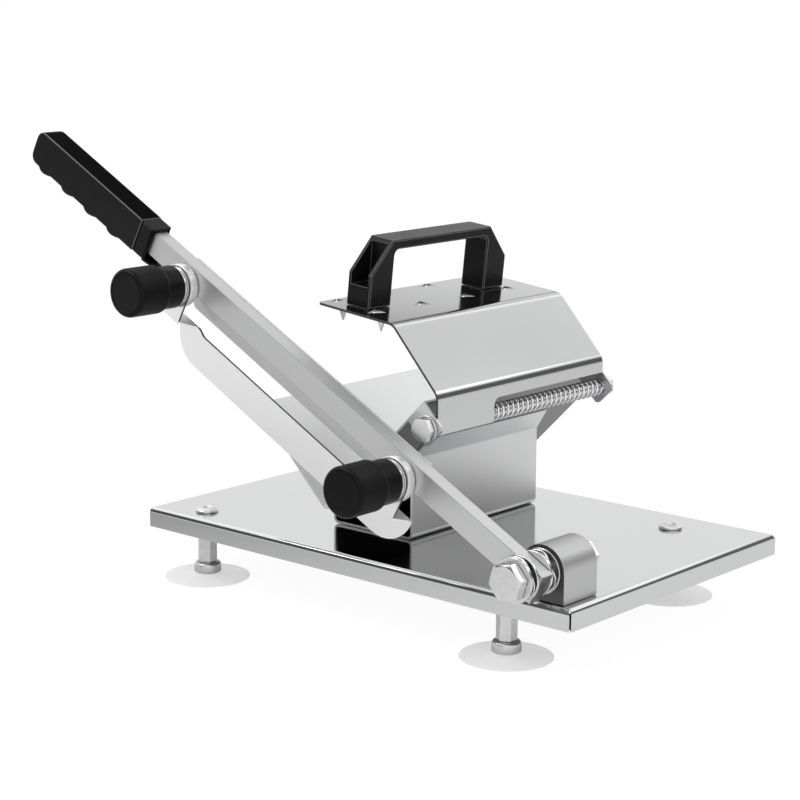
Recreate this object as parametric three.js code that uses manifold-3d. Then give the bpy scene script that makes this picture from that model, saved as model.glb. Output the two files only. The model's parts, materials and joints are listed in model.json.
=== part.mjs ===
// Hand crank meat slicer, millimetres, +Z up.
// +X runs along the base's long side towards the arm's pivot, +Y from the blade back along the trough.
import * as THREE from 'three';
import { mergeVertices } from 'three/addons/utils/BufferGeometryUtils.js';
import Module from 'manifold-3d';

const wasm = await Module();
wasm.setup();

// Gap between pieces that touch or slide on each other
const seat = 0.3;

// Base pan
const baseLength = 340;
const baseDepth = 216;
const baseSheet = 1.5;
const flangeHeight = 13;
const flangeBend = 3.5;
const cornerSlit = 1.1;

// Feet
const footInsetLeft = 37;
const footInsetRight = 57;
const footInsetFront = 17;
const footInsetRear = 32;
const footScrewDiameter = 6;
const footHeadDiameter = 14;
const footHeadHeight = 4;
const footHeadSocket = 4;
const footScrewReach = 9;
const standoffFlats = 11;
const standoffLength = 31;
const collarDiameter = 17.5;
const collarHeight = 7;
const cupDiameter = 55;
const cupHeight = 3;
const cupLip = 1.2;

// Stand channel and V trough
const sheet = 1.5;
const troughX = 150;
const troughFront = 7.8;
const troughLength = 193.2;
const troughVertex = 22.5;
const rightPanelRise = 77.5;
const leftPanelRise = 58;
const troughBend = 3;
const standWidth = 64.9;
const standFront = 51;
const standLength = 125.7;
const standFlange = 22;
const standTaper = 25;
const standBend = 3;

// Guide rod, its tabs and the return spring
const rodDiameter = 6;
const rodFromPanel = 12.4;
const rodFromEdge = 9.2;
const tabSpan = 170.7;
const tabLength = 17.6;
const tabOverhang = 8;
const tabCorner = 3;
const tabRelief = 1.5;
const rodHeadFlats = 13;
const rodHeadHeight = 4.5;
const rodWasherDiameter = 16;
const rodWasherThickness = 1.2;
const rodNutHeight = 6;
const rodTip = 3;
const springOuter = 11;
const springWire = 1.6;
const springCurls = 23;

// Press plate that slides and tilts on the rod
const pressLength = 162.7;
const pressSheet = 1.5;
const pressFlangeFromRod = 6;
const pressFlangeDrop = 3.7;
const pressShoulderRise = 19.6;
const pressRidgeX = 201.5;
const pressRidgeRise = 57.6;
const pressTopWidth = 59.4;
const pressTilt = 6.2;
const pressBend = 8;
const pressCorner = 2.5;
const pressCarrierLength = 52.4;
const notchRise = 10.8;
const notchCorner = 5;
const earOverhang = 6.2;
const sleeveDiameter = 9.4;

// Teeth punched down out of the press plate
const toothRows = 4;
const toothPitch = 42.3;
const firstToothFromFront = 17;
const toothColumns = [4.6, 35.1];
const toothWidth = 9.5;
const toothLength = 11.5;

// Bail handle on the press plate
const handleFromFront = 11.4;
const handleLength = 129.2;
const handleHeight = 40.5;
const handleWidth = 18.5;
const handleFromEdge = 12.4;
const handleLeg = 20;
const handleBar = 6;
const handleChamferRun = 17.7;
const handleChamferRise = 20;
const handleCorner = 4;
const handleEdge = 0.8;
const pocketWall = 2.6;
const pocketFloor = 13;
const pocketBack = 3.4;
const handleScrewDiameter = 4;
const handleScrewHead = 8.5;
const handleScrewReach = 8;

// Pivot block, bolt and washers
const blockWidth = 30;
const blockLength = 31.2;
const blockFromEnd = 7;
const blockFromFront = 3;
const pivotHeight = 18;
const boltDiameter = 11;
const boltHeadFlats = 20;
const boltHeadHeight = 7;
const flatWasherDiameter = 26.5;
const flatWasherThickness = 1.7;
const waveWasherDiameter = 25;
const waveWasherThickness = 1.1;
const frontWaveHeight = 3.6;
const rearWaveHeight = 5.2;
const waves = 3;
const backWasherDiameter = 20;
const backWasherThickness = 1.5;
const backNutFlats = 17;
const backNutHeight = 8;
const boltTip = 3;

// Arm
const armRest = 28.2;
const armRise = 9.5;
const armDrop = 5.7;
const armThickness = 10;
const armTail = 12;
const eyeDrop = 9.5;
const eyeReach = 9;
const lugRadius = 7;
const lugThickness = 5;
const stripStart = 88;
const stripEnd = 303;
const stripDrop = 19.5;
const stripRise = 9.6;
const stripCorner = 12;
const stripThickness = 1.5;

// Grip and bolster on the arm
const bolsterStart = 333;
const bolsterLength = 11;
const gripLength = 109.5;
const gripWidth = 16.5;
const gripRise = 12.4;
const gripDrop = 10.3;
const gripEdge = 1.2;
const gripEndCorner = 7;
const bumpHeight = 2;
const bumpPitch = 24.4;
const bumpRun = bumpPitch / 5;
const firstBump = 22;
const bumpCount = Math.floor((gripLength - firstBump - bumpRun - gripEndCorner) / bumpPitch) + 1;
const tangLength = 70;
const bolsterRim = 1.8;
const bolsterMouthDrop = 9.8;
const bolsterRecess = 2.5;
const lipLength = 8;
const lipThickness = 1.4;

// Studs, thickness nuts, clamp knobs
const studDiameter = 8;
const studUpper = 297;
const studLower = 98;
const studDrop = 5;
const studReach = 30;
const nutDiameter = 27;
const nutThickness = 6.2;
const nutTeeth = 44;
const nutToothDepth = 0.5;
const knobWasherDiameter = 24;
const knobWasherThickness = 1.6;
const knobNeckDiameter = 26.5;
const knobNeckLength = 13;
const knobDiameter = 30;
const knobLength = 38.5;
const knobRim = 3;

// Blade
const bladeThickness = 1.6;
const bladePastUpper = -7;
const bladePastLower = 20.3;
const bladeTop = 22.7;
const bladeDip = 2.6;
const bladeDipRun = 8;
const bladeDrop = 46.3;
const bladeEndRadius = 22.5;
const bladeBevel = 3.2;
const bladeEdge = 0.5;
const bladeStepBack = 9.3;
const earRadius = 13;
const shelfFlare = 9;

// Round pieces: faces around a shaft, a small fastener and a large round
const shaftSides = 20;
const smallSides = 24;
const roundSides = 32;
const arcSteps = 5;

// Finishes
const polished = { color: 0xd6d7d8, roughness: 0.16, metalness: 1 };
const brushed = { color: 0xb9babb, roughness: 0.34, metalness: 1 };
const zinc = { color: 0xa9aaab, roughness: 0.3, metalness: 1 };
const bladeSteel = { color: 0xe4e5e6, roughness: 0.22, metalness: 1 };
const chrome = { color: 0xe8e8ea, roughness: 0.06, metalness: 1 };
const blackPlastic = { color: 0x1b1c1e, roughness: 0.42, metalness: 0 };
const softCup = { color: 0xe2e3e1, roughness: 0.3, metalness: 0, transparent: true, opacity: 0.6 };

const radians = (degrees) => degrees * Math.PI / 180;
const hexRadius = (flats) => flats / Math.sqrt(3);

// A closed geometry with shared corners, no empty triangles and its faces pointing out
function closed(geometry) {
  const bare = geometry.clone();
  for (const name of Object.keys(bare.attributes)) {
    if (name !== 'position') bare.deleteAttribute(name);
  }
  bare.morphAttributes = {};
  const merged = mergeVertices(bare, 1e-4);
  const at = (i) => new THREE.Vector3().fromBufferAttribute(merged.attributes.position, i);
  const kept = [];
  let volume = 0;
  for (let i = 0; i < merged.index.count; i += 3) {
    const [a, b, c] = [0, 1, 2].map((k) => merged.index.getX(i + k));
    if (a === b || b === c || c === a) continue;
    kept.push(a, b, c);
    volume += at(a).dot(at(b).cross(at(c)));
  }
  if (volume < 0) kept.reverse();
  merged.setIndex(kept);
  return merged;
}

function toManifold(geometry) {
  const body = closed(geometry);
  return new wasm.Manifold(new wasm.Mesh({
    numProp: 3,
    vertProperties: new Float32Array(body.attributes.position.array),
    triVerts: new Uint32Array(body.index.array),
  }));
}

function fromManifold(manifold) {
  const { vertProperties, triVerts } = manifold.getMesh();
  const geometry = new THREE.BufferGeometry();
  geometry.setAttribute('position', new THREE.BufferAttribute(new Float32Array(vertProperties), 3));
  geometry.setIndex([...triVerts]);
  return geometry;
}

const join = (first, ...rest) => fromManifold(
  rest.reduce((body, next) => body.add(toManifold(next)), toManifold(first)));
const cut = (first, ...tools) => fromManifold(
  tools.reduce((body, tool) => body.subtract(toManifold(tool)), toManifold(first)));
const common = (first, ...rest) => fromManifold(
  rest.reduce((body, next) => body.intersect(toManifold(next)), toManifold(first)));

function outline(points) {
  return new THREE.Shape(points.map(([a, b]) => new THREE.Vector2(a, b)));
}

function extrude(shape, depth, options = {}) {
  return new THREE.ExtrudeGeometry(shape, { depth, bevelEnabled: false, curveSegments: arcSteps, ...options });
}

// An outline in X and Z, run from front to back along Y
function alongY(shape, front, back, options = {}) {
  return extrude(shape, back - front, options).rotateX(Math.PI / 2).translate(0, back, 0);
}

// An outline in Y and Z, run from left to right along X
function alongX(shape, left, right, options = {}) {
  const turn = new THREE.Matrix4().makeBasis(
    new THREE.Vector3(0, 1, 0), new THREE.Vector3(0, 0, 1), new THREE.Vector3(1, 0, 0));
  return extrude(shape, right - left, options).applyMatrix4(turn).translate(left, 0, 0);
}

// An outline in X and Y, run upwards
const alongZ = (shape, low, high) => extrude(shape, high - low).translate(0, 0, low);

function box(x0, x1, y0, y1, z0, z1) {
  return new THREE.BoxGeometry(x1 - x0, y1 - y0, z1 - z0)
    .translate((x0 + x1) / 2, (y0 + y1) / 2, (z0 + z1) / 2);
}

// Solids of revolution about an axis along Y or Z; the profile holds radius and height
function turnedY(profile, x, z, sides = roundSides) {
  const points = profile.map(([r, y]) => new THREE.Vector2(r, y));
  return new THREE.LatheGeometry(points, sides).translate(x, 0, z);
}

function turnedZ(profile, x, y, sides = roundSides) {
  const points = profile.map(([r, z]) => new THREE.Vector2(r, z));
  return new THREE.LatheGeometry(points, sides).rotateX(Math.PI / 2).translate(x, y, 0);
}

const rodProfile = (radius, low, high) => [[0, low], [radius, low], [radius, high], [0, high]];
const ringProfile = (inner, outer, low, high) => [
  [inner, low], [outer, low], [outer, high], [inner, high], [inner, low]];

// Points on an arc from one angle to another, in degrees
function arc(x, y, radius, from, to, steps = arcSteps) {
  return Array.from({ length: steps + 1 }, (_, i) => {
    const angle = radians(from + (to - from) * i / steps);
    return [x + radius * Math.cos(angle), y + radius * Math.sin(angle)];
  });
}

// A six-sided outline with its flats to the given width
const hexOutline = (flats, turn = 0) => outline(arc(0, 0, hexRadius(flats), turn, turn + 300, 5));

// A bent sheet: the middle line's corners are rounded, then moved out to both faces
function bentSheet(path, thickness, bend) {
  const corner = (i) => new THREE.Vector2(...path[i]);
  const line = [corner(0)];
  for (let i = 1; i < path.length - 1; i += 1) {
    const here = corner(i);
    const back = corner(i - 1).sub(here).normalize();
    const ahead = corner(i + 1).sub(here).normalize();
    const half = Math.acos(back.dot(ahead)) / 2;
    const reach = bend / Math.tan(half);
    const start = here.clone().addScaledVector(back, reach);
    const end = here.clone().addScaledVector(ahead, reach);
    const centre = here.clone().addScaledVector(back.clone().add(ahead).normalize(), bend / Math.sin(half));
    const first = start.clone().sub(centre).angle();
    let sweep = end.clone().sub(centre).angle() - first;
    if (sweep > Math.PI) sweep -= 2 * Math.PI;
    if (sweep < -Math.PI) sweep += 2 * Math.PI;
    for (let k = 0; k <= arcSteps; k += 1) {
      const angle = first + sweep * k / arcSteps;
      line.push(new THREE.Vector2(centre.x + bend * Math.cos(angle), centre.y + bend * Math.sin(angle)));
    }
  }
  line.push(corner(path.length - 1));
  const side = (sign) => line.map((point, i) => {
    const before = line[Math.max(i - 1, 0)];
    const after = line[Math.min(i + 1, line.length - 1)];
    const normal = after.clone().sub(before).normalize();
    return [point.x - sign * normal.y * thickness / 2, point.y + sign * normal.x * thickness / 2];
  });
  return outline([...side(1), ...side(-1).reverse()]);
}

const slicer = new THREE.Group();

function piece(name, geometry, finish, parent = slicer) {
  const body = closed(geometry).toNonIndexed();
  body.computeVertexNormals();
  const mesh = new THREE.Mesh(body, new THREE.MeshStandardMaterial(finish));
  mesh.name = name;
  parent.add(mesh);
  return mesh;
}

// Base pan: a flat top with a folded flange along each side, mitred and slit at the corners
function basePan() {
  const inner = flangeBend - baseSheet;
  const fold = outline([
    [flangeBend + 1, 0],
    ...arc(flangeBend, -flangeBend, flangeBend, 90, 180),
    [0, -flangeHeight],
    [baseSheet, -flangeHeight],
    ...arc(flangeBend, -flangeBend, inner, 180, 90),
    [flangeBend + 1, -baseSheet],
  ]);
  const mitre = flangeBend + 2;
  const foldAlong = (length) => common(
    alongX(fold, 0, length),
    alongZ(outline([[0, 0], [length, 0], [length - mitre, mitre], [mitre, mitre]]), -flangeHeight - 1, 1));
  const long = foldAlong(baseLength);
  const short = foldAlong(baseDepth);
  const quarter = Math.PI / 2;
  const top = box(flangeBend, baseLength - flangeBend, flangeBend, baseDepth - flangeBend, -baseSheet, 0);
  const slit = (x, y, turn) => box(-flangeBend * 1.4, flangeBend * 1.4, -cornerSlit / 2, cornerSlit / 2,
    -flangeHeight - 1, -baseSheet / 2).rotateZ(turn).translate(x, y, 0);
  const diagonal = radians(45);
  const holes = footPlaces().map(([, x, y]) => turnedZ(
    rodProfile(footScrewDiameter / 2 + 2 * seat, -baseSheet - 1, 1), x, y, shaftSides));
  return cut(
    join(top, long,
      short.clone().rotateZ(quarter).translate(baseLength, 0, 0),
      long.clone().rotateZ(2 * quarter).translate(baseLength, baseDepth, 0),
      short.clone().rotateZ(3 * quarter).translate(0, baseDepth, 0)),
    slit(0, 0, diagonal), slit(baseLength, baseDepth, diagonal),
    slit(baseLength, 0, -diagonal), slit(0, baseDepth, -diagonal),
    ...holes);
}

// Feet: button-head screw, hex standoff, collar and suction cup
function footPlaces() {
  const right = baseLength - footInsetRight;
  const rear = baseDepth - footInsetRear;
  return [
    ['front_left', footInsetLeft, footInsetFront],
    ['front_right', right, footInsetFront],
    ['rear_left', footInsetLeft, rear],
    ['rear_right', right, rear],
  ];
}

function footScrew(x, y) {
  const rim = footHeadDiameter / 2;
  const dome = arc(0, seat, 1, 0, 90).map(([a, b]) => [a * rim, seat + (b - seat) * footHeadHeight]);
  const body = turnedZ([
    [0, -baseSheet - footScrewReach],
    [footScrewDiameter / 2, -baseSheet - footScrewReach],
    [footScrewDiameter / 2, seat],
    ...dome.slice(0, -1),
    [0, seat + footHeadHeight],
  ], x, y, smallSides);
  const socket = alongZ(hexOutline(footHeadSocket), seat + footHeadHeight / 3, footHeadHeight + 1)
    .translate(x, y, 0);
  return cut(body, socket);
}

const standoffTop = -baseSheet - seat;
const standoffFoot = standoffTop - standoffLength;
const collarFoot = standoffFoot - seat - collarHeight;
const cupFoot = collarFoot - seat - cupHeight;

function standoff(x, y) {
  const hex = alongZ(hexOutline(standoffFlats, 30), standoffFoot, standoffTop).translate(x, y, 0);
  const pin = turnedZ(rodProfile(footScrewDiameter / 2, collarFoot, standoffFoot + 1), x, y, shaftSides);
  const thread = turnedZ(
    rodProfile(footScrewDiameter / 2 + seat, -baseSheet - footScrewReach - 1, standoffTop + 1),
    x, y, shaftSides);
  return cut(join(hex, pin), thread);
}

function collar(x, y) {
  const outer = collarDiameter / 2;
  const bore = footScrewDiameter / 2 + seat;
  const top = collarFoot + collarHeight;
  return turnedZ([
    [bore, collarFoot], [outer - 1, collarFoot], [outer, collarFoot + 1],
    [outer, top - 1.5], [outer - 1.5, top], [bore, top], [bore, collarFoot]], x, y, smallSides);
}

function suctionCup(x, y) {
  const rim = cupDiameter / 2;
  const top = cupFoot + cupHeight;
  const hub = collarDiameter / 2;
  return turnedZ([
    [0, cupFoot + cupHeight / 3], [hub, cupFoot + cupHeight / 3], [rim - 3, cupFoot + 0.3],
    [rim - 2, cupFoot], [rim, cupFoot], [rim, cupFoot + cupLip], [hub + 2, top - 0.6],
    [hub, top], [0, top]], x, y, roundSides);
}

piece('base_plate', basePan(), polished);
for (const [name, x, y] of footPlaces()) {
  piece(`foot_screw_${name}`, footScrew(x, y), chrome);
  piece(`foot_standoff_${name}`, standoff(x, y), zinc);
  piece(`foot_collar_${name}`, collar(x, y), zinc);
  piece(`suction_cup_${name}`, suctionCup(x, y), softCup);
}

// Stand channel under the trough; its side flanges lie along the undersides of the trough's panels
const panelGap = Math.SQRT2 * (sheet + seat);

function standChannel() {
  const wall = (standWidth - sheet) / 2;
  const floor = seat + sheet / 2;
  const top = troughVertex + wall - panelGap;
  const tip = standFlange / Math.SQRT2;
  const half = [[wall, floor], [wall, top], [wall + tip, top + tip]];
  const path = [...half.map(([x, z]) => [-x, z]).reverse(), ...half].map(([x, z]) => [x + troughX, z]);
  const channel = alongY(bentSheet(path, sheet, standBend), standFront, standFront + standLength);
  const back = standFront + standLength;
  const rise = tip + sheet * 2;
  const taper = alongX(outline([
    [back, top], [back - rise * Math.SQRT2 * Math.tan(radians(standTaper)), top + rise],
    [back + 1, top + rise], [back + 1, top]]), troughX - wall - tip * 2, troughX + wall + tip * 2);
  return cut(channel, taper);
}

// V trough with a tab bent square off each end of its right panel
const rodX = troughX + rightPanelRise + (rodFromPanel - rodFromEdge) / Math.SQRT2;
const rodZ = troughVertex + rightPanelRise - (rodFromPanel + rodFromEdge) / Math.SQRT2;
const troughBack = troughFront + troughLength;
const rearTabBack = troughFront + tabSpan;
const rodHole = rodDiameter / 2 + seat;

function rodTab(front) {
  const reach = rodFromPanel + tabOverhang;
  const shape = new THREE.Shape();
  shape.moveTo(0, 0);
  shape.lineTo(reach - tabCorner, 0);
  shape.absarc(reach - tabCorner, tabCorner, tabCorner, -Math.PI / 2, 0);
  shape.lineTo(reach, tabLength - tabCorner);
  shape.absarc(reach - tabCorner, tabLength - tabCorner, tabCorner, 0, Math.PI / 2);
  shape.lineTo(0, tabLength);
  shape.closePath();
  const tab = alongY(shape, front, front + sheet);
  // The outline's first axis points away from the panel, its second down along the panel
  const turn = new THREE.Matrix4().makeBasis(
    new THREE.Vector3(1, 0, -1).normalize(), new THREE.Vector3(0, 1, 0),
    new THREE.Vector3(-1, 0, -1).normalize());
  return tab.applyMatrix4(turn).translate(troughX + rightPanelRise, 0, troughVertex + rightPanelRise);
}

function vTrough() {
  const path = [
    [troughX - leftPanelRise, troughVertex + leftPanelRise],
    [troughX, troughVertex],
    [troughX + rightPanelRise, troughVertex + rightPanelRise]];
  const trough = alongY(bentSheet(path, sheet, troughBend), troughFront, troughBack);
  const hole = turnedY(rodProfile(rodHole, troughFront - 1, rearTabBack + 1), rodX, rodZ, shaftSides);
  // The rear tab is folded out of the panel's own corner, which is open behind it
  const edge = [troughX + rightPanelRise, troughVertex + rightPanelRise];
  const down = (tabLength + tabRelief) / Math.SQRT2;
  const corner = alongY(outline([
    [edge[0] - down - sheet * 2, edge[1] - down + sheet * 2], [edge[0] - down + sheet * 2, edge[1] - down - sheet * 2],
    [edge[0] + sheet * 3, edge[1] - sheet], [edge[0] - sheet, edge[1] + sheet * 3]]), rearTabBack, troughBack + 1);
  return cut(join(cut(trough, corner), rodTab(troughFront), rodTab(rearTabBack - sheet)), hole);
}

function hexAlongY(flats, front, back, x, z, turn = 0) {
  return alongY(hexOutline(flats, turn), front, back).translate(x, 0, z);
}

const rodHeadBack = troughFront - 2 * seat - rodWasherThickness;
const rodNutFront = rearTabBack + seat;

function guideRod() {
  const tip = rodNutFront + rodNutHeight + rodTip;
  const chamfered = turnedY([
    [0, rodHeadBack - rodHeadHeight], [rodHeadFlats / 2, rodHeadBack - rodHeadHeight],
    [rodHeadFlats / 2 + 1.2, rodHeadBack - rodHeadHeight + 1], [rodHeadFlats / 2 + 1.2, rodHeadBack],
    [0, rodHeadBack]], rodX, rodZ, smallSides);
  const head = common(hexAlongY(rodHeadFlats, rodHeadBack - rodHeadHeight, rodHeadBack, rodX, rodZ), chamfered);
  return join(head, turnedY(rodProfile(rodDiameter / 2, rodHeadBack - 1, tip), rodX, rodZ, shaftSides));
}

piece('stand_channel', standChannel(), brushed);
piece('v_trough', vTrough(), brushed);
piece('guide_rod', guideRod(), zinc);
piece('rod_washer', turnedY(ringProfile(rodHole, rodWasherDiameter / 2,
  rodHeadBack + seat, rodHeadBack + seat + rodWasherThickness), rodX, rodZ, smallSides), zinc);
piece('rod_nut', cut(hexAlongY(rodHeadFlats, rodNutFront, rodNutFront + rodNutHeight, rodX, rodZ, 30),
  turnedY(rodProfile(rodHole, rodNutFront - 1, rodNutFront + rodNutHeight + 1), rodX, rodZ, shaftSides)), zinc);

// Press plate: top, sloped side and flange, with two ears on the rod and the sleeve between them
const pressFront = troughFront + sheet + seat;
const pressBack = pressFront + pressLength;
const carrierBack = pressFront + pressCarrierLength;
const flangeX = rodX + pressFlangeFromRod;
const flangeFoot = rodZ - pressFlangeDrop;
const ridgeZ = rodZ + pressRidgeRise;
const topSlope = Math.tan(radians(pressTilt));
const topZ = (x) => ridgeZ + (pressRidgeX - x) * topSlope;
const topLeft = pressRidgeX - pressTopWidth;

function rodEar(front) {
  const low = flangeFoot;
  const shape = outline([
    [flangeX, low],
    ...arc(rodX, rodZ, earOverhang, 218, 90, 8),
    [flangeX, rodZ + earOverhang]]);
  return alongY(shape, front, front + pressSheet);
}

function tooth(x, hinge) {
  const half = toothWidth / 2;
  return alongY(outline([[x - half, topZ(x - half)], [x, topZ(x) - toothLength], [x + half, topZ(x + half)]]),
    hinge, hinge + pressSheet);
}

function toothHole(x, hinge) {
  return alongZ(outline([[x - toothWidth / 2, hinge], [x + toothWidth / 2, hinge], [x, hinge - toothLength]]),
    ridgeZ - pressSheet * 2, topZ(topLeft) + pressSheet * 2);
}

function toothPlaces() {
  const places = [];
  for (const column of toothColumns) {
    for (let row = 0; row < toothRows; row += 1) {
      places.push([topLeft + column, pressFront + firstToothFromFront + row * toothPitch]);
    }
  }
  return places;
}

// Where the handle stands: its own upright frame on the tilted top plate
const handleX = topLeft + handleFromEdge + handleWidth / 2;
const handleY = pressFront + handleFromFront;
const handleLegs = [handleLeg / 2, handleLength - handleLeg / 2];

function handleFrame() {
  const frame = new THREE.Group();
  const lift = (pressSheet / 2 + seat) / Math.cos(radians(pressTilt));
  frame.position.set(handleX, handleY, topZ(handleX) + lift);
  frame.rotation.y = radians(pressTilt);
  slicer.add(frame);
  return frame;
}

// What rounds a left corner of the plate; inward is 1 at the front edge and -1 at the back edge
function cornerTool(y, inward) {
  return alongZ(outline([
    [topLeft - 1, y - inward], [topLeft + pressCorner, y - inward],
    ...arc(topLeft + pressCorner, y + inward * pressCorner, pressCorner, -90 * inward, -180 * inward),
    [topLeft - 1, y + inward * pressCorner]]), ridgeZ, topZ(topLeft) + pressSheet * 2);
}

function pressPlate() {
  const path = [
    [topLeft, topZ(topLeft)],
    [pressRidgeX, ridgeZ],
    [flangeX, rodZ + pressShoulderRise],
    [flangeX, flangeFoot]];
  const cover = alongY(bentSheet(path, pressSheet, pressBend), pressFront, pressBack);
  const notch = new THREE.Shape();
  const notchTop = rodZ + notchRise;
  notch.moveTo(carrierBack, flangeFoot - 1);
  notch.lineTo(carrierBack, notchTop - notchCorner);
  notch.absarc(carrierBack + notchCorner, notchTop - notchCorner, notchCorner, Math.PI, Math.PI / 2, true);
  notch.lineTo(pressBack + 1, notchTop);
  notch.lineTo(pressBack + 1, flangeFoot - 1);
  notch.closePath();
  const rodBore = turnedY(rodProfile(rodHole, pressFront - 1, pressBack + 1), rodX, rodZ, shaftSides);
  const screwHoles = handleLegs.map((y) => turnedZ(
    rodProfile(handleScrewDiameter / 2 + seat, -pressSheet * 3, pressSheet * 2), 0, 0, shaftSides)
    .rotateY(radians(pressTilt)).translate(handleX, handleY + y, topZ(handleX)));
  return cut(
    join(
      cut(cover, alongX(notch, flangeX - 3, flangeX + 3)),
      rodEar(pressFront), rodEar(carrierBack - pressSheet),
      ...toothPlaces().map(([x, y]) => tooth(x, y))),
    ...toothPlaces().map(([x, y]) => toothHole(x, y)),
    cornerTool(pressFront, 1), cornerTool(pressBack, -1), rodBore, ...screwHoles);
}

// Bail handle: chamfered outer corners, hollow ends, rounded finger opening
function bailHandle() {
  const far = handleLength;
  const inner = handleHeight - handleBar;
  const shape = outline([
    [0, 0], [0, handleHeight - handleChamferRise], [handleChamferRun, handleHeight],
    [far - handleChamferRun, handleHeight], [far, handleHeight - handleChamferRise], [far, 0],
    [far - handleLeg, 0],
    ...arc(far - handleLeg - handleCorner, inner - handleCorner, handleCorner, 0, 90, 3),
    ...arc(handleLeg + handleCorner, inner - handleCorner, handleCorner, 90, 180, 3),
    [handleLeg, 0]]);
  const half = handleWidth / 2;
  const body = alongX(shape, -half + handleEdge, half - handleEdge, {
    bevelEnabled: true, bevelThickness: handleEdge, bevelSize: handleEdge,
    bevelOffset: -handleEdge, bevelSegments: 1 });
  const deep = handleLeg - pocketBack;
  const pocket = box(-half + pocketWall, half - pocketWall, -1, deep, pocketFloor, handleHeight - pocketWall);
  const bores = handleLegs.map((y) => turnedZ(
    rodProfile(handleScrewDiameter / 2 + seat, -1, handleScrewReach + 1), 0, y, shaftSides));
  return cut(body, pocket, pocket.clone().rotateZ(Math.PI).translate(0, far, 0), ...bores);
}

// The screw sits head down under the plate
function handleScrew(y) {
  const under = -pressSheet - 2 * seat;
  return turnedZ([
    [0, under - 2.5], [handleScrewHead / 2 - 1, under - 2.5], [handleScrewHead / 2, under - 1.2],
    [handleScrewHead / 2, under], [handleScrewDiameter / 2, under],
    [handleScrewDiameter / 2, handleScrewReach], [0, handleScrewReach]], 0, y, shaftSides);
}

piece('pusher_plate', pressPlate(), polished);
piece('pusher_sleeve', turnedY(ringProfile(rodHole, sleeveDiameter / 2,
  pressFront + pressSheet + seat, carrierBack - pressSheet - seat), rodX, rodZ, smallSides), zinc);
const onPlate = handleFrame();
piece('pusher_handle', bailHandle(), blackPlastic, onPlate);
piece('handle_screw_front', handleScrew(handleLegs[0]), zinc, onPlate);
piece('handle_screw_rear', handleScrew(handleLegs[1]), zinc, onPlate);

// Return spring: one unbroken wire wound round the rod, its ends run straight against ear and tab
function returnSpring() {
  const radius = (springOuter - springWire) / 2;
  const start = carrierBack + seat;
  const end = rearTabBack - sheet - seat;
  const first = start + springWire;
  const rise = (end - springWire - first) / springCurls;
  const stepsPerCurl = 8;
  const sides = 5;
  const path = [new THREE.Vector3(rodX + radius, start, rodZ)];
  for (let i = 0; i <= springCurls * stepsPerCurl; i += 1) {
    const angle = 2 * Math.PI * i / stepsPerCurl;
    path.push(new THREE.Vector3(
      rodX + radius * Math.cos(angle), first + rise * i / stepsPerCurl, rodZ + radius * Math.sin(angle)));
  }
  path.push(new THREE.Vector3(rodX + radius, end, rodZ));
  const positions = [];
  const last = path.length - 1;
  path.forEach((point, i) => {
    const ahead = path[Math.min(i + 1, last)].clone().sub(path[Math.max(i - 1, 0)]).normalize();
    if (i === 0 || i === last) ahead.set(0, 1, 0);
    const outward = new THREE.Vector3(point.x - rodX, 0, point.z - rodZ).normalize();
    outward.addScaledVector(ahead, -outward.dot(ahead)).normalize();
    const across = ahead.clone().cross(outward);
    for (let k = 0; k < sides; k += 1) {
      const angle = 2 * Math.PI * k / sides;
      const rim = point.clone()
        .addScaledVector(outward, Math.cos(angle) * springWire / 2)
        .addScaledVector(across, Math.sin(angle) * springWire / 2);
      positions.push(rim.x, rim.y, rim.z);
    }
  });
  const index = [];
  for (let i = 0; i < last; i += 1) {
    for (let k = 0; k < sides; k += 1) {
      const a = i * sides + k;
      const b = i * sides + (k + 1) % sides;
      index.push(a, b, a + sides, b, b + sides, a + sides);
    }
  }
  for (let k = 1; k < sides - 1; k += 1) {
    index.push(0, k + 1, k);
    index.push(last * sides, last * sides + k, last * sides + k + 1);
  }
  const geometry = new THREE.BufferGeometry();
  geometry.setAttribute('position', new THREE.Float32BufferAttribute(positions, 3));
  geometry.setIndex(index);
  let least = Infinity;
  for (let i = 0; i < path.length; i += 1) {
    for (let k = i + stepsPerCurl - 2; k < path.length; k += 1) {
      least = Math.min(least, path[i].distanceTo(path[k]) - springWire);
    }
  }
  console.log(`return spring: least gap to itself ${least.toFixed(2)} mm`);
  return geometry;
}

piece('return_spring', returnSpring(), chrome);

// Pivot block with a rounded top, and the bolt that the arm turns on
const pivotX = baseLength - blockFromEnd - blockWidth / 2;
const blockBack = blockFromFront + blockLength;
const boltHole = boltDiameter / 2 + seat;

function pivotBlock() {
  const radius = blockWidth / 2;
  const shape = outline([
    [pivotX - radius, seat], [pivotX + radius, seat], ...arc(pivotX, pivotHeight, radius, 0, 180, 14)]);
  return cut(alongY(shape, blockFromFront, blockBack),
    turnedY(rodProfile(boltHole, blockFromFront - 1, blockBack + 1), pivotX, pivotHeight, smallSides));
}

function flatWasher(front) {
  return turnedY(ringProfile(boltHole, flatWasherDiameter / 2, front, front + flatWasherThickness),
    pivotX, pivotHeight, roundSides);
}

// A ring whose faces rise and fall in waves around the bolt
function waveWasher(front, height) {
  const ring = new THREE.LatheGeometry(
    ringProfile(boltHole + seat, waveWasherDiameter / 2, 0, waveWasherThickness)
      .map(([r, y]) => new THREE.Vector2(r, y)), waves * 12);
  const place = ring.attributes.position;
  const swing = (height - waveWasherThickness) / 2;
  for (let i = 0; i < place.count; i += 1) {
    const angle = Math.atan2(place.getZ(i), place.getX(i));
    place.setY(i, place.getY(i) + swing * (1 + Math.cos(waves * angle)));
  }
  return ring.translate(pivotX, front, pivotHeight);
}

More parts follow.
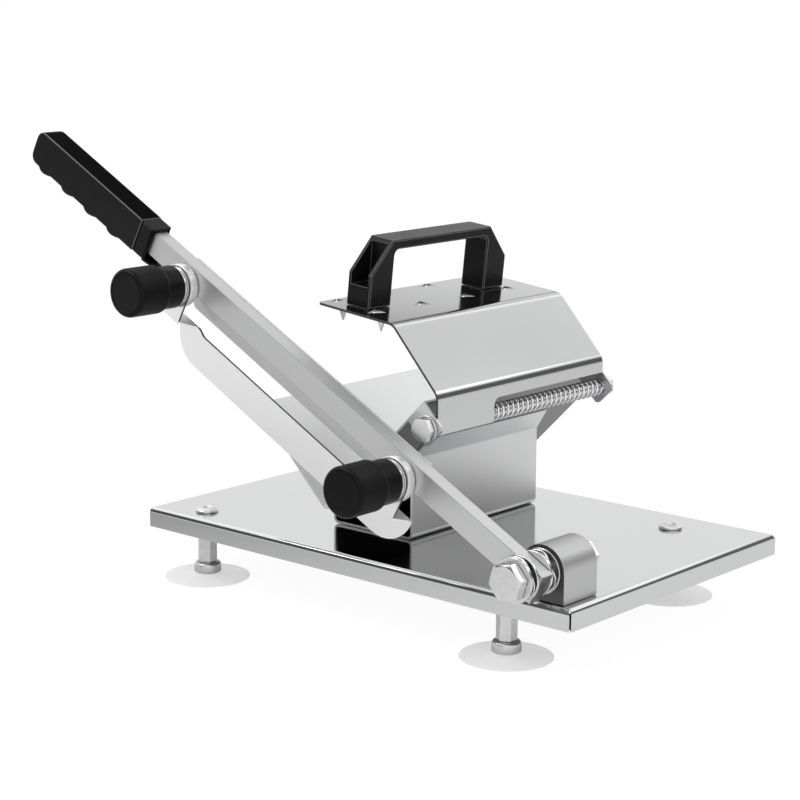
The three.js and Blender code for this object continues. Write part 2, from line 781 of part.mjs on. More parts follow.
// Stacks of flat, wave and flat washer, from the block forward to the bolt's head
const rearFlatBack = blockFromFront - seat - flatWasherThickness;
const rearWave = rearFlatBack - seat - rearWaveHeight;
const rearFlatFront = rearWave - seat - flatWasherThickness;
const armBack = rearFlatFront - seat;
const armFront = armBack - armThickness;
const frontFlatBack = armFront - seat - flatWasherThickness;
const frontWave = frontFlatBack - seat - frontWaveHeight;
const frontFlatFront = frontWave - seat - flatWasherThickness;
const boltHeadBack = frontFlatFront - seat;
const backWasherFront = blockBack + seat;
const backNutFront = backWasherFront + backWasherThickness + seat;

function pivotBolt() {
  const front = boltHeadBack - boltHeadHeight;
  const rim = boltHeadFlats / 2;
  const chamfered = turnedY([
    [0, front], [rim - 0.5, front], [rim + 1.8, front + 1.3], [rim + 1.8, boltHeadBack], [0, boltHeadBack]],
  pivotX, pivotHeight, roundSides);
  const head = common(hexAlongY(boltHeadFlats, front, boltHeadBack, pivotX, pivotHeight, 12), chamfered);
  const tip = backNutFront + backNutHeight + boltTip;
  return join(head, turnedY([
    [0, boltHeadBack - 1], [boltDiameter / 2, boltHeadBack - 1], [boltDiameter / 2, tip - 1],
    [boltDiameter / 2 - 1, tip], [0, tip]], pivotX, pivotHeight, smallSides));
}

piece('pivot_block', pivotBlock(), brushed);
piece('pivot_bolt', pivotBolt(), zinc);
piece('front_washer_outer', flatWasher(frontFlatFront), zinc);
piece('front_wave_washer', waveWasher(frontWave, frontWaveHeight), zinc);
piece('front_washer_inner', flatWasher(frontFlatBack), zinc);
piece('rear_washer_inner', flatWasher(rearFlatFront), zinc);
piece('rear_wave_washer', waveWasher(rearWave, rearWaveHeight), zinc);
piece('rear_washer_outer', flatWasher(rearFlatBack), zinc);
piece('back_washer', turnedY(ringProfile(boltHole, backWasherDiameter / 2, backWasherFront,
  backWasherFront + backWasherThickness), pivotX, pivotHeight, smallSides), zinc);
piece('back_nut', cut(hexAlongY(backNutFlats, backNutFront, backNutFront + backNutHeight, pivotX, pivotHeight, 12),
  turnedY(rodProfile(boltHole, backNutFront - 1, backNutFront + backNutHeight + 1), pivotX, pivotHeight,
    smallSides)), zinc);

// Arm: its own frame on the pivot, running to -X, raised to its resting angle
const arm = new THREE.Group();
arm.position.set(pivotX, 0, pivotHeight);
arm.rotation.y = radians(armRest);
slicer.add(arm);

const studs = { upper: -studUpper, lower: -studLower };
const armMiddle = (armFront + armBack) / 2;
const gripStart = bolsterStart + bolsterLength + seat;
const tangEnd = gripStart + tangLength;
const studHole = studDiameter / 2 + seat;

// The bar is deeper round the pivot's hole, and a lug behind each thickness nut carries a stud
function armBar() {
  const bar = alongY(outline([
    [-tangEnd, -armDrop], [-eyeReach - (eyeDrop - armDrop), -armDrop], [-eyeReach, -eyeDrop],
    [armTail, -eyeDrop], [armTail, armRise], [-tangEnd, armRise]]), armFront, armBack);
  const lugs = Object.values(studs).map((x) => turnedY(
    rodProfile(lugRadius, armFront, armFront + lugThickness), x, -studDrop, smallSides));
  const holes = Object.values(studs).map((x) => turnedY(
    rodProfile(studHole, armFront - 1, armBack + 1), x, -studDrop, shaftSides));
  return cut(join(bar, ...lugs), turnedY(rodProfile(boltHole, armFront - 1, armBack + 1), 0, 0, smallSides),
    ...holes);
}

function backingStrip() {
  return alongY(outline([
    [-stripEnd, -stripDrop + stripCorner], [-stripEnd + stripCorner, -stripDrop],
    [-stripStart - stripCorner, -stripDrop], [-stripStart, -stripDrop + stripCorner],
    [-stripStart, stripRise], [-stripEnd, stripRise]]),
  armBack + seat, armBack + seat + stripThickness);
}

// The grip's outline: rounded end, flat top, finger bumps below
function gripOutline(start, end) {
  const shape = new THREE.Shape();
  const round = gripEndCorner;
  shape.moveTo(-start, gripRise);
  shape.lineTo(-end + round, gripRise);
  shape.quadraticCurveTo(-end, gripRise, -end, gripRise - round);
  shape.lineTo(-end, -gripDrop + round);
  shape.quadraticCurveTo(-end, -gripDrop, -end + round, -gripDrop);
  for (let i = bumpCount - 1; i >= 0; i -= 1) {
    const peak = -start - firstBump - i * bumpPitch;
    shape.lineTo(peak - bumpRun, -gripDrop);
    shape.quadraticCurveTo(peak - bumpPitch / 8, -gripDrop - bumpHeight, peak, -gripDrop - bumpHeight);
    shape.quadraticCurveTo(peak + bumpPitch / 8, -gripDrop - bumpHeight, peak + bumpPitch / 3, -gripDrop);
  }
  shape.lineTo(-start, -gripDrop);
  shape.closePath();
  return shape;
}

function armGrip() {
  const end = gripStart + gripLength;
  const half = gripWidth / 2;
  const body = alongY(gripOutline(gripStart, end), armMiddle - half + gripEdge, armMiddle + half - gripEdge, {
    curveSegments: 4, bevelEnabled: true, bevelThickness: gripEdge, bevelSize: gripEdge,
    bevelOffset: -gripEdge, bevelSegments: 1 });
  return cut(body, box(-tangEnd - seat, -gripStart + 1, armFront - seat, armBack + seat,
    -armDrop - seat, armRise + seat));
}

function gripBolster() {
  const half = gripWidth / 2;
  const end = bolsterStart + bolsterLength;
  const body = alongY(outline([
    [-end, -gripDrop], [-bolsterStart, -gripDrop], [-bolsterStart, gripRise], [-end, gripRise]]),
  armMiddle - half + gripEdge, armMiddle + half - gripEdge, {
    bevelEnabled: true, bevelThickness: gripEdge, bevelSize: gripEdge, bevelOffset: -gripEdge, bevelSegments: 1 });
  const through = box(-end - 1, -bolsterStart + 1, armFront - seat, armBack + seat,
    -armDrop - seat, armRise + seat);
  const bottom = -bolsterMouthDrop;
  const mouth = box(-bolsterStart - bolsterRecess, -bolsterStart + 1,
    armMiddle - half + bolsterRim, armMiddle + half - bolsterRim, bottom, gripRise - bolsterRim);
  // A rounded lip runs out under the arm from the mouth's lower edge
  const lip = alongZ(outline([
    [-bolsterStart - bolsterRecess, armMiddle - half + gripEdge],
    ...arc(0, 0, 1, -90, 90, 10).map(([a, b]) => [a * lipLength - bolsterStart, armMiddle + b * (half - gripEdge)]),
    [-bolsterStart - bolsterRecess, armMiddle + half - gripEdge]]), bottom - lipThickness, bottom);
  return join(cut(body, through, mouth), lip);
}

piece('arm_bar', armBar(), brushed, arm);
piece('arm_backing_strip', backingStrip(), brushed, arm);
piece('arm_grip', armGrip(), blackPlastic, arm);
piece('grip_bolster', gripBolster(), blackPlastic, arm);

// Clamping stack on each stud, from the arm's front face outward
const nutBack = armFront - seat;
const nutFront = nutBack - nutThickness;
const bladeEarBack = nutFront - seat;
const bladeEarFront = bladeEarBack - bladeThickness;
const knobWasherBack = bladeEarFront - seat;
const knobBack = knobWasherBack - knobWasherThickness - seat;
const knobFace = knobBack - knobLength;
const studTip = knobBack - studReach + 2;

function thicknessNut(x) {
  const outer = nutDiameter / 2;
  const rim = Array.from({ length: nutTeeth * 2 }, (_, i) => {
    const angle = Math.PI * i / nutTeeth;
    const radius = outer - (i % 2) * nutToothDepth;
    return [x + radius * Math.cos(angle), -studDrop + radius * Math.sin(angle)];
  });
  return cut(alongY(outline(rim), nutFront, nutBack),
    turnedY(rodProfile(studHole, nutFront - 1, nutBack + 1), x, -studDrop, shaftSides));
}

function clampKnob(x) {
  const face = knobDiameter / 2;
  const neck = knobNeckDiameter / 2;
  const step = knobBack - knobNeckLength;
  const bore = knobBack - studReach;
  return turnedY([
    [0, knobFace], [face - knobRim, knobFace],
    ...arc(face - knobRim, knobFace + knobRim, knobRim, 270, 360, 4),
    [face, step - 2], [neck, step], [neck, knobBack - 1], [neck - 1, knobBack],
    [studHole, knobBack], [studHole, bore], [0, bore]], x, -studDrop, roundSides);
}

for (const [side, x] of Object.entries(studs)) {
  piece(`stud_${side}`, turnedY([
    [0, studTip], [studDiameter / 2 - 0.8, studTip], [studDiameter / 2, studTip + 0.8],
    [studDiameter / 2, armBack], [0, armBack]], x, -studDrop, shaftSides), zinc, arm);
  piece(`thickness_nut_${side}`, thicknessNut(x), zinc, arm);
  piece(`knob_washer_${side}`, turnedY(ringProfile(studHole, knobWasherDiameter / 2,
    knobWasherBack - knobWasherThickness, knobWasherBack), x, -studDrop, roundSides), chrome, arm);
  piece(`clamp_knob_${side}`, clampKnob(x), blackPlastic, arm);
}

// Blade: ears in front on the studs, a shelf running back from each, and the body below
const bladeUpper = studUpper + bladePastUpper;
const bladeLower = studLower - bladePastLower;
const bodyFront = bladeEarFront + bladeStepBack;
const bodyBack = bodyFront + bladeThickness;

function bladeBody() {
  const over = bladeBevel + 1;
  const shape = outline([
    [-bladeUpper, -bladeTop + over],
    ...arc(-bladeUpper + bladeEndRadius, -bladeDrop + bladeEndRadius, bladeEndRadius, 180, 270, 8),
    ...arc(-bladeLower - bladeEndRadius, -bladeDrop + bladeEndRadius, bladeEndRadius, 270, 360, 8),
    [-bladeLower, -bladeTop + over]]);
  const ground = alongY(shape, bodyFront - bladeThickness, bodyFront + bladeEdge, {
    bevelEnabled: true, bevelThickness: bladeThickness - bladeEdge, bevelSize: bladeBevel,
    bevelOffset: -bladeBevel, bevelSegments: 1 });
  const flat = common(ground,
    box(-bladeUpper - 1, -bladeLower + 1, bodyFront, bodyBack + 1, -bladeDrop - 1, -bladeTop));
  const reach = earRadius + shelfFlare;
  const bend = Array.from({ length: 9 }, (_, i) => i / 8).map((k) => [
    k * bladeDipRun, -bladeTop - bladeDip * (1 - Math.cos(Math.PI * k)) / 2]);
  const dip = outline([
    [-studUpper + reach, -bladeTop + 1],
    ...bend.map(([x, z]) => [-studUpper + reach + x, z]),
    ...bend.toReversed().map(([x, z]) => [-studLower - reach - x, z]),
    [-studLower - reach, -bladeTop + 1]]);
  return cut(flat, alongY(dip, bodyFront - 1, bodyBack + 1));
}

function bladeEar(x) {
  return alongY(outline([
    [x - earRadius, -bladeTop],
    [x + earRadius, -bladeTop],
    ...arc(x, -studDrop, earRadius, 0, 180, 12)]), bladeEarFront, bladeEarBack);
}

function bladeShelf(x) {
  const towardGrip = Math.max(x - earRadius - shelfFlare, -bladeUpper + 1);
  const towardPivot = Math.min(x + earRadius + shelfFlare, -bladeLower - 1);
  return alongZ(outline([
    [x - earRadius, bladeEarFront], [x + earRadius, bladeEarFront],
    [towardPivot, bodyBack], [towardGrip, bodyBack]]), -bladeTop - bladeThickness, -bladeTop);
}

function blade() {
  const places = Object.values(studs);
  const holes = places.map((x) => turnedY(
    rodProfile(studHole, bladeEarFront - 1, bladeEarBack + 1), x, -studDrop, shaftSides));
  return cut(join(bladeBody(), ...places.flatMap((x) => [bladeEar(x), bladeShelf(x)])), ...holes);
}

piece('blade', blade(), bladeSteel, arm);

// The origin is the middle of the slicer's footprint, on the surface that it stands on
slicer.updateMatrixWorld(true);
const bounds = new THREE.Box3().setFromObject(slicer, true);
const middle = bounds.getCenter(new THREE.Vector3());
slicer.position.set(-middle.x, -middle.y, -bounds.min.z);

export default slicer;
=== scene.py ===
"""Looks of a hand crank meat slicer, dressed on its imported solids.

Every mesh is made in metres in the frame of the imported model. The classes hold their sizes in
millimetres, as a maker would read them off a drawing, and turn them to metres where a mesh is made.
"""

import json
import logging
import math
from collections.abc import Callable
from dataclasses import dataclass
from enum import Enum

import bmesh
import bpy
from mathutils import Matrix, Vector


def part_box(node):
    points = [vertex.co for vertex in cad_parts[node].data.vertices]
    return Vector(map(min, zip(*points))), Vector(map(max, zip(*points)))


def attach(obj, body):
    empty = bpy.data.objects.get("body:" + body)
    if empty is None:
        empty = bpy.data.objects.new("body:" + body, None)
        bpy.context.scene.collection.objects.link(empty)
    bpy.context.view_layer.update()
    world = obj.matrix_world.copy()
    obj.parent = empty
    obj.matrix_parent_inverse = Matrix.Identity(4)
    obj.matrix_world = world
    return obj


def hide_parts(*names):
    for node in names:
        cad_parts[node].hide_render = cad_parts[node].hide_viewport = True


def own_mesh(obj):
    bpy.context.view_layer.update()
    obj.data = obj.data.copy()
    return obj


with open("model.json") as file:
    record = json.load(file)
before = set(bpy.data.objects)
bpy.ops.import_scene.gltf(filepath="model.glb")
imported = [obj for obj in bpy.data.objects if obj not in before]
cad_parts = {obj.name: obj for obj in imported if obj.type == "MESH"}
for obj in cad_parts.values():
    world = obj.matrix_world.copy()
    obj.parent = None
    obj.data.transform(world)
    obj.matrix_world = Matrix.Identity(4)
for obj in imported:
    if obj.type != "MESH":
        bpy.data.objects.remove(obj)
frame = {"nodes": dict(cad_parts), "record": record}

LOG = logging.getLogger("slicer")
Point = tuple[float, float]
Colour = tuple[float, float, float]

# One millimetre, in metres.
MM = 0.001
# Corners closer than this many metres are one.
WELD = 1e-6
# Faces that turn by fewer degrees than this are one flat.
FLAT = 0.6
# A normal's share along an axis: a face that faces that way has more than SQUARE, and one that lies
# along the axis has less than ASIDE.
SQUARE = 0.9
ASIDE = 0.1


class Axis(Enum):
    """The direction that a turned or drawn piece runs along."""

    Y = "y"
    Z = "z"


class Grain(Enum):
    """Which way the polishing marks run: how far each axis is drawn out, and a turn about Y in degrees."""

    ALONG_X = ((30.0, 1.0, 1.0), 0.0)
    ALONG_Y = ((1.0, 30.0, 1.0), 0.0)
    ALONG_ARM = ((30.0, 1.0, 1.0), 28.2)
    EVEN = ((1.0, 1.0, 1.0), 0.0)


class Nodes:
    """A material's node tree, with short calls for the nodes that the finishes use."""

    def __init__(self, name: str) -> None:
        """Starts a material with a Principled shader.

        Args:
            name: the material's name.
        """
        self.material = bpy.data.materials.new(name)
        self.material.use_nodes = True
        self.tree = self.material.node_tree
        self.shader = self.tree.nodes["Principled BSDF"]
        self.place = self.tree.nodes.new("ShaderNodeTexCoord").outputs["Object"]

    def set(self, **values: float | tuple[float, ...]) -> None:
        """Sets sockets of the shader by name, with underscores for spaces."""
        for key, value in values.items():
            self.shader.inputs[key.replace("_", " ")].default_value = value

    def noise(self, scale: float, detail: float = 3.0, grain: Grain = Grain.EVEN,
              rough: float = 0.5) -> bpy.types.NodeSocket:
        """Noise in the piece's own coordinates.

        Args:
            scale: features per metre.
            detail: octaves.
            grain: the direction that the marks run long in.
            rough: strength of the fine octaves.

        Returns:
            The noise value, about 0.5 in the middle.
        """
        mapping = self.tree.nodes.new("ShaderNodeMapping")
        mapping.vector_type = "TEXTURE"
        mapping.inputs["Scale"].default_value = grain.value[0]
        mapping.inputs["Rotation"].default_value = (0, math.radians(grain.value[1]), 0)
        texture = self.tree.nodes.new("ShaderNodeTexNoise")
        texture.inputs["Scale"].default_value = scale
        texture.inputs["Detail"].default_value = detail
        texture.inputs["Roughness"].default_value = rough
        self.tree.links.new(self.place, mapping.inputs["Vector"])
        self.tree.links.new(mapping.outputs["Vector"], texture.inputs["Vector"])
        return texture.outputs["Fac"]

    def spread(self, value: bpy.types.NodeSocket, low: float, high: float,
               start: float = 0.3, end: float = 0.7) -> bpy.types.NodeSocket:
        """Maps a value from start..end to low..high.

        Args:
            value: the value to map.
            low: result at start.
            high: result at end.
            start: lower end of the value's range.
            end: upper end of the value's range.

        Returns:
            The mapped value.
        """
        node = self.tree.nodes.new("ShaderNodeMapRange")
        for key, number in (("From Min", start), ("From Max", end), ("To Min", low), ("To Max", high)):
            node.inputs[key].default_value = number
        self.tree.links.new(value, node.inputs["Value"])
        return node.outputs["Result"]

    def math(self, kind: str, a: bpy.types.NodeSocket,
             b: bpy.types.NodeSocket | float) -> bpy.types.NodeSocket:
        """Joins two values by an operation such as ADD or MULTIPLY.

        Args:
            kind: the operation's name.
            a: first value.
            b: second value or number.

        Returns:
            The result.
        """
        node = self.tree.nodes.new("ShaderNodeMath")
        node.operation = kind
        self.tree.links.new(a, node.inputs[0])
        if isinstance(b, (int, float)):
            node.inputs[1].default_value = b
        else:
            self.tree.links.new(b, node.inputs[1])
        return node.outputs[0]

    def tint(self, value: bpy.types.NodeSocket, dark: tuple[float, ...], light: tuple[float, ...]) -> None:
        """Lets a value blend the shader's colour between two colours.

        Args:
            value: the value, from 0 to 1.
            dark: the colour at 0.
            light: the colour at 1.
        """
        node = self.tree.nodes.new("ShaderNodeMix")
        node.data_type = "RGBA"
        node.inputs["A"].default_value = (*dark, 1)
        node.inputs["B"].default_value = (*light, 1)
        self.tree.links.new(value, node.inputs["Factor"])
        self.tree.links.new(node.outputs["Result"], self.shader.inputs["Base Color"])

    def roughen(self, value: bpy.types.NodeSocket) -> None:
        """Lets a value drive the shader's roughness."""
        self.tree.links.new(value, self.shader.inputs["Roughness"])

    def emboss(self, value: bpy.types.NodeSocket, strength: float, depth: float) -> None:
        """Bumps the surface by a value.

        Args:
            value: the height.
            strength: how much of the bump shows.
            depth: the bump's height in metres.
        """
        node = self.tree.nodes.new("ShaderNodeBump")
        node.inputs["Strength"].default_value = strength
        node.inputs["Distance"].default_value = depth
        self.tree.links.new(value, node.inputs["Height"])
        self.tree.links.new(node.outputs["Normal"], self.shader.inputs["Normal"])


@dataclass(frozen=True)
class Steel:
    """Sheet or bar steel: fine marks along the grain, soft clouds in the polish and faint wipe marks."""

    name: str
    colour: Colour
    smooth: float
    dull: float
    grain: Grain
    marks: float = 0.12
    cloud: float = 0.97

    def make(self) -> bpy.types.Material:
        """Builds the material.

        Returns:
            The material.
        """
        n = Nodes(self.name)
        n.set(Metallic=1.0)
        lines = n.noise(3200, 3, self.grain, 0.55)
        clouds = n.noise(9, 2)
        wiped = n.noise(34, 4, self.grain, 0.6)
        n.tint(n.spread(clouds, 0, 1), tuple(c * self.cloud for c in self.colour), self.colour)
        rough = n.math("ADD", n.spread(clouds, self.smooth, self.dull), n.spread(wiped, 0, 0.02, 0.5, 0.8))
        n.roughen(n.math("ADD", rough, n.spread(lines, -0.01, 0.01)))
        n.emboss(lines, self.marks, 0.000006)
        return n.material


@dataclass(frozen=True)
class Plating:
    """Zinc or chrome on a small fastener: a little mottled, with fine turning marks."""

    name: str
    light: Colour
    dark: Colour
    smooth: float
    dull: float
    mottle: float = 0.1

    def make(self) -> bpy.types.Material:
        """Builds the material.

        Returns:
            The material.
        """
        n = Nodes(self.name)
        n.set(Metallic=1.0)
        spots = n.noise(260, 3, rough=0.55)
        broad = n.noise(70, 2)
        n.tint(n.spread(spots, 0, 1), self.dark, self.light)
        n.roughen(n.math("ADD", n.spread(broad, self.smooth, self.dull), n.spread(spots, 0, 0.03)))
        n.emboss(spots, self.mottle, 0.00002)
        return n.material


@dataclass(frozen=True)
class Moulding:
    """Black moulded plastic: a fine spark-eroded grain, a little polished by hands."""

    name: str
    colour: Colour
    worn: Colour
    smooth: float
    dull: float
    gloss: float = 0.3
    grain: float = 0.3

    def make(self) -> bpy.types.Material:
        """Builds the material.

        Returns:
            The material.
        """
        n = Nodes(self.name)
        n.set(Specular_IOR_Level=self.gloss)
        fine = n.noise(2400, 3, rough=0.55)
        worn = n.noise(38, 4, rough=0.6)
        n.tint(n.spread(worn, 0, 1, 0.35, 0.75), self.colour, self.worn)
        n.roughen(n.math("ADD", n.spread(worn, self.dull, self.smooth), n.spread(fine, -0.03, 0.03)))
        n.emboss(fine, self.grain, 0.00005)
        return n.material


@dataclass(frozen=True)
class SoftVinyl:
    """Thin clear vinyl, a little milky, that shows what it stands on."""

    name: str
    colour: Colour
    cover: float = 0.5

    def make(self) -> bpy.types.Material:
        """Builds the material.

        Returns:
            The material.
        """
        n = Nodes(self.name)
        n.set(Alpha=self.cover, IOR=1.4, Specular_IOR_Level=0.35)
        milk = n.noise(60, 3)
        n.tint(n.spread(milk, 0, 1), tuple(c * 0.96 for c in self.colour), self.colour)
        n.roughen(n.spread(milk, 0.3, 0.42))
        n.emboss(milk, 0.1, 0.0001)
        return n.material


class Finish(Enum):
    """The slicer's finishes, and colours that paint shade and highlights on some faces."""

    BASE = Steel("mirror_sheet", (0.64, 0.643, 0.647), 0.08, 0.11, Grain.ALONG_X, 0.05)
    COVER = Steel("polished_cover", (0.58, 0.582, 0.586), 0.12, 0.15, Grain.ALONG_Y, 0.04)
    SHEET = Steel("satin_sheet", (0.73, 0.733, 0.738), 0.38, 0.42, Grain.ALONG_Y, 0.05)
    BAR = Steel("satin_bar", (0.7, 0.702, 0.705), 0.46, 0.5, Grain.ALONG_ARM, 0.06)
    BLADE = Steel("ground_blade", (0.97, 0.972, 0.975), 0.31, 0.34, Grain.ALONG_ARM, 0.01)
    BLOCK = Steel("drawn_block", (0.54, 0.542, 0.545), 0.4, 0.44, Grain.ALONG_Y, 0.03)
    # Dark grey for the sheared edges of the cover and the blade; on the pivot block's front and back faces it
    # is painted shade.
    CUT_AND_SHADE = Steel("sheared_edge_and_painted_shade", (0.10, 0.10, 0.102), 0.35, 0.45, Grain.EVEN, 0.3, 0.8)
    # Painted shade: a darker colour on the rounded edges of the cover, the arm bar and the blade, which draws
    # a dark line along them.
    SHADE_RIM = Steel("painted_shade_edge", (0.33, 0.331, 0.334), 0.36, 0.44, Grain.EVEN, 0.2, 0.9)
    # Painted shade: a dark colour on the arm's tail end, which faces down and away.
    TAIL = Steel("painted_shade_end", (0.17, 0.171, 0.173), 0.3, 0.36, Grain.EVEN, 0.3, 0.9)
    # Painted shade: near black for the inside of the channel, the corner slits' walls and the laps behind
    # them.
    SHADE = Steel("painted_shade_inner_sheet", (0.012, 0.012, 0.0122), 0.45, 0.55, Grain.ALONG_Y, 0.2, 0.85)
    # Painted shade: dark grey for the pan's inner faces and the trough's undersides, which are the same steel
    # in shade.
    UNDER_SHADE = Steel("painted_shade_under_sheet", (0.22, 0.22, 0.222), 0.4, 0.46, Grain.ALONG_Y, 0.2, 0.95)
    ZINC = Plating("bright_zinc", (0.74, 0.74, 0.745), (0.66, 0.66, 0.665), 0.17, 0.23)
    HEAD = Plating("dull_zinc", (0.78, 0.78, 0.785), (0.68, 0.68, 0.685), 0.32, 0.38)
    KNURL = Plating("knurled_rim", (0.88, 0.88, 0.885), (0.82, 0.82, 0.825), 0.28, 0.34)
    CHROME = Plating("chrome_plate", (0.82, 0.82, 0.83), (0.76, 0.76, 0.77), 0.07, 0.11, 0.05)
    BLACK = Moulding("black_moulding", (0.005, 0.0053, 0.0062), (0.008, 0.0084, 0.0095), 0.24, 0.32, 0.12)
    # Painted highlight: a paler, glossier black on the rounded edges of the handle, bolster and grip, which
    # draws pale lines along them.
    HIGHLIGHT_EDGE = Moulding("painted_highlight_edge", (0.07, 0.071, 0.075), (0.11, 0.111, 0.116), 0.2, 0.26, 0.5)
    KNOB = Moulding("black_knob", (0.005, 0.005, 0.0052), (0.008, 0.008, 0.0085), 0.32, 0.38, 0.1, 0.4)
    # Painted shade: a blacker, less glossy copy of the black moulding for the grip's top.
    SHADED_TOP = Moulding("painted_shade_black", (0.0008, 0.0008, 0.0009), (0.0014, 0.0014, 0.0016), 0.4, 0.46, 0.01)
    VINYL = SoftVinyl("clear_vinyl", (0.82, 0.83, 0.828), 0.24)


@dataclass(frozen=True)
class Patch:
    """Faces of a piece with another finish, picked by their normal and middle."""

    finish: Finish
    holds: Callable[[Vector, Vector], bool]


class Paint:
    """Keeps one material for each finish."""

    made: dict[Finish, bpy.types.Material] = {}

    @classmethod
    def of(cls, finish: Finish) -> bpy.types.Material:
        """The finish's material, built on first use.

        Args:
            finish: the finish.

        Returns:
            Its material.
        """
        if finish not in cls.made:
            cls.made[finish] = finish.value.make()
        return cls.made[finish]


class Model:
    """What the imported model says: which body and slot each node has, and where it lies."""

    bodies = {n: body for body, members in frame["record"]["behaviour"]["bodies"].items() for n in members}
    slots = {row["node"]: row["material_slot"] for row in frame["record"]["subparts"]}

    @classmethod
    def span(cls, node: str) -> tuple[Vector, Vector, Vector]:
        """A node's lowest corner, highest corner and middle, in metres."""
        low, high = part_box(node)
        return low, high, (low + high) / 2

    @classmethod
    def wear(cls, obj: bpy.types.Object, node: str, finish: Finish, *patches: Patch,
             rim: Finish | None = None) -> bpy.types.Object:
        """Dresses a finished piece and lets it stand for its node.

        Args:
            obj: the piece, in place.
            node: the node that it replaces.
            finish: its main finish.
            patches: other finishes for some of its faces. Where two fit, the later one holds.
            rim: the colour of its rounded edges, where it differs; such colours are painted light: a dark
                line of painted shade on steel, a pale line of painted highlight on black moulding.

        Returns:
            The piece.
        """
        cls.add(obj, node, finish, *patches, rim=rim)
        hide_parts(node)
        return obj

    @classmethod
    def add(cls, obj: bpy.types.Object, node: str, finish: Finish, *patches: Patch,
            rim: Finish | None = None) -> None:
        """Dresses a finished piece and lets it ride with a node's body.

        Args:
            obj: the piece, in place.
            node: the node whose body it has.
            finish: its main finish.
            patches: other finishes for some of its faces. Where two fit, the later one holds.
            rim: the colour of its rounded edges, where it differs; such colours are painted light: a dark
                line of painted shade on steel, a pale line of painted highlight on black moulding.
        """
        obj.data.materials.append(Paint.of(finish))
        for i, patch in enumerate(patches, 1):
            obj.data.materials.append(Paint.of(patch.finish))
            for face in obj.data.polygons:
                if patch.holds(face.normal, face.center):
                    face.material_index = i
        if rim:
            obj.data.materials.append(Paint.of(rim))
            obj.modifiers["edges"].material = len(obj.data.materials) - 1
        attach(obj, cls.bodies[node])
        LOG.info("%s: %d faces on %s", obj.name, len(obj.data.polygons), cls.bodies[node])


def shown(name: str, bm: bmesh.types.BMesh, crease: float = 32.0) -> bpy.types.Object:
    """Turns an edited mesh into a smooth shaded object whose sharper edges stay sharp.

    Args:
        name: the object's name.
        bm: the mesh, which is freed.
        crease: edges that turn by more degrees than this stay sharp.

    Returns:
        The object, linked to the scene.
    """
    bmesh.ops.recalc_face_normals(bm, faces=bm.faces[:])
    mesh = bpy.data.meshes.new(name)
    bm.to_mesh(mesh)
    bm.free()
    mesh.polygons.foreach_set("use_smooth", [True] * len(mesh.polygons))
    mesh.set_sharp_from_angle(angle=math.radians(crease))
    obj = bpy.data.objects.new(name, mesh)
    bpy.context.scene.collection.objects.link(obj)
    return obj


def soften(obj: bpy.types.Object, width: float, steps: int = 2, angle: float = 28.0) -> bpy.types.Object:
    """Rounds a piece's edges and keeps its flats flat.

    Args:
        obj: the piece.
        width: the rounding's width in millimetres.
        steps: faces across the rounding.
        angle: edges that turn by more degrees than this are rounded.

    Returns:
        The piece.
    """
    bevel = obj.modifiers.new("edges", "BEVEL")
    bevel.width = width * MM
    bevel.segments = steps
    bevel.limit_method = "ANGLE"
    bevel.angle_limit = math.radians(angle)
    bevel.use_clamp_overlap = True
    bevel.harden_normals = False
    weighted = obj.modifiers.new("flats", "WEIGHTED_NORMAL")
    weighted.keep_sharp = True
    weighted.weight = 100
    return obj


def refined(node: str, width: float, steps: int = 2, crease: float = 50.0,
            cuts: tuple[float, ...] = ()) -> bpy.types.Object:
    """A copy of a node's solid with shared corners, whole flats and rounded edges.

    Args:
        node: the node to copy.
        width: the rounding's width in millimetres.
        steps: faces across the rounding.
        crease: edges that turn by more degrees than this stay sharp where no rounding fits.
        cuts: heights in metres at which the faces are parted, so that each part can have its finish.

    Returns:
        The object.
    """
    bm = bmesh.new()
    bm.from_mesh(frame["nodes"][node].data)
    for layer in list(bm.loops.layers.uv):
        bm.loops.layers.uv.remove(layer)
    bmesh.ops.remove_doubles(bm, verts=bm.verts, dist=WELD)
    bmesh.ops.dissolve_limit(bm, angle_limit=math.radians(FLAT), verts=bm.verts[:], edges=bm.edges[:])
    for height in cuts:
        bmesh.ops.bisect_plane(bm, geom=bm.verts[:] + bm.edges[:] + bm.faces[:], plane_co=(0, 0, height),
                               plane_no=(0, 0, 1))
    for face in bm.faces:
        face.material_index = 0
    return soften(shown(f"{node}_fine", bm, crease), width, steps)


def ring(bm: bmesh.types.BMesh, spots: list[Vector]) -> list[bmesh.types.BMVert]:
    """Adds a ring of corners."""
    return [bm.verts.new(spot) for spot in spots]


def bridge(bm: bmesh.types.BMesh, one: list[bmesh.types.BMVert], two: list[bmesh.types.BMVert]) -> None:
    """Joins two rings of the same count by a band of faces.

    Args:
        bm: the mesh.
        one: the first ring.
        two: the second ring.
    """
    count = len(one)
    for i in range(count):
        j = (i + 1) % count
        bm.faces.new((one[i], one[j], two[j], two[i]))


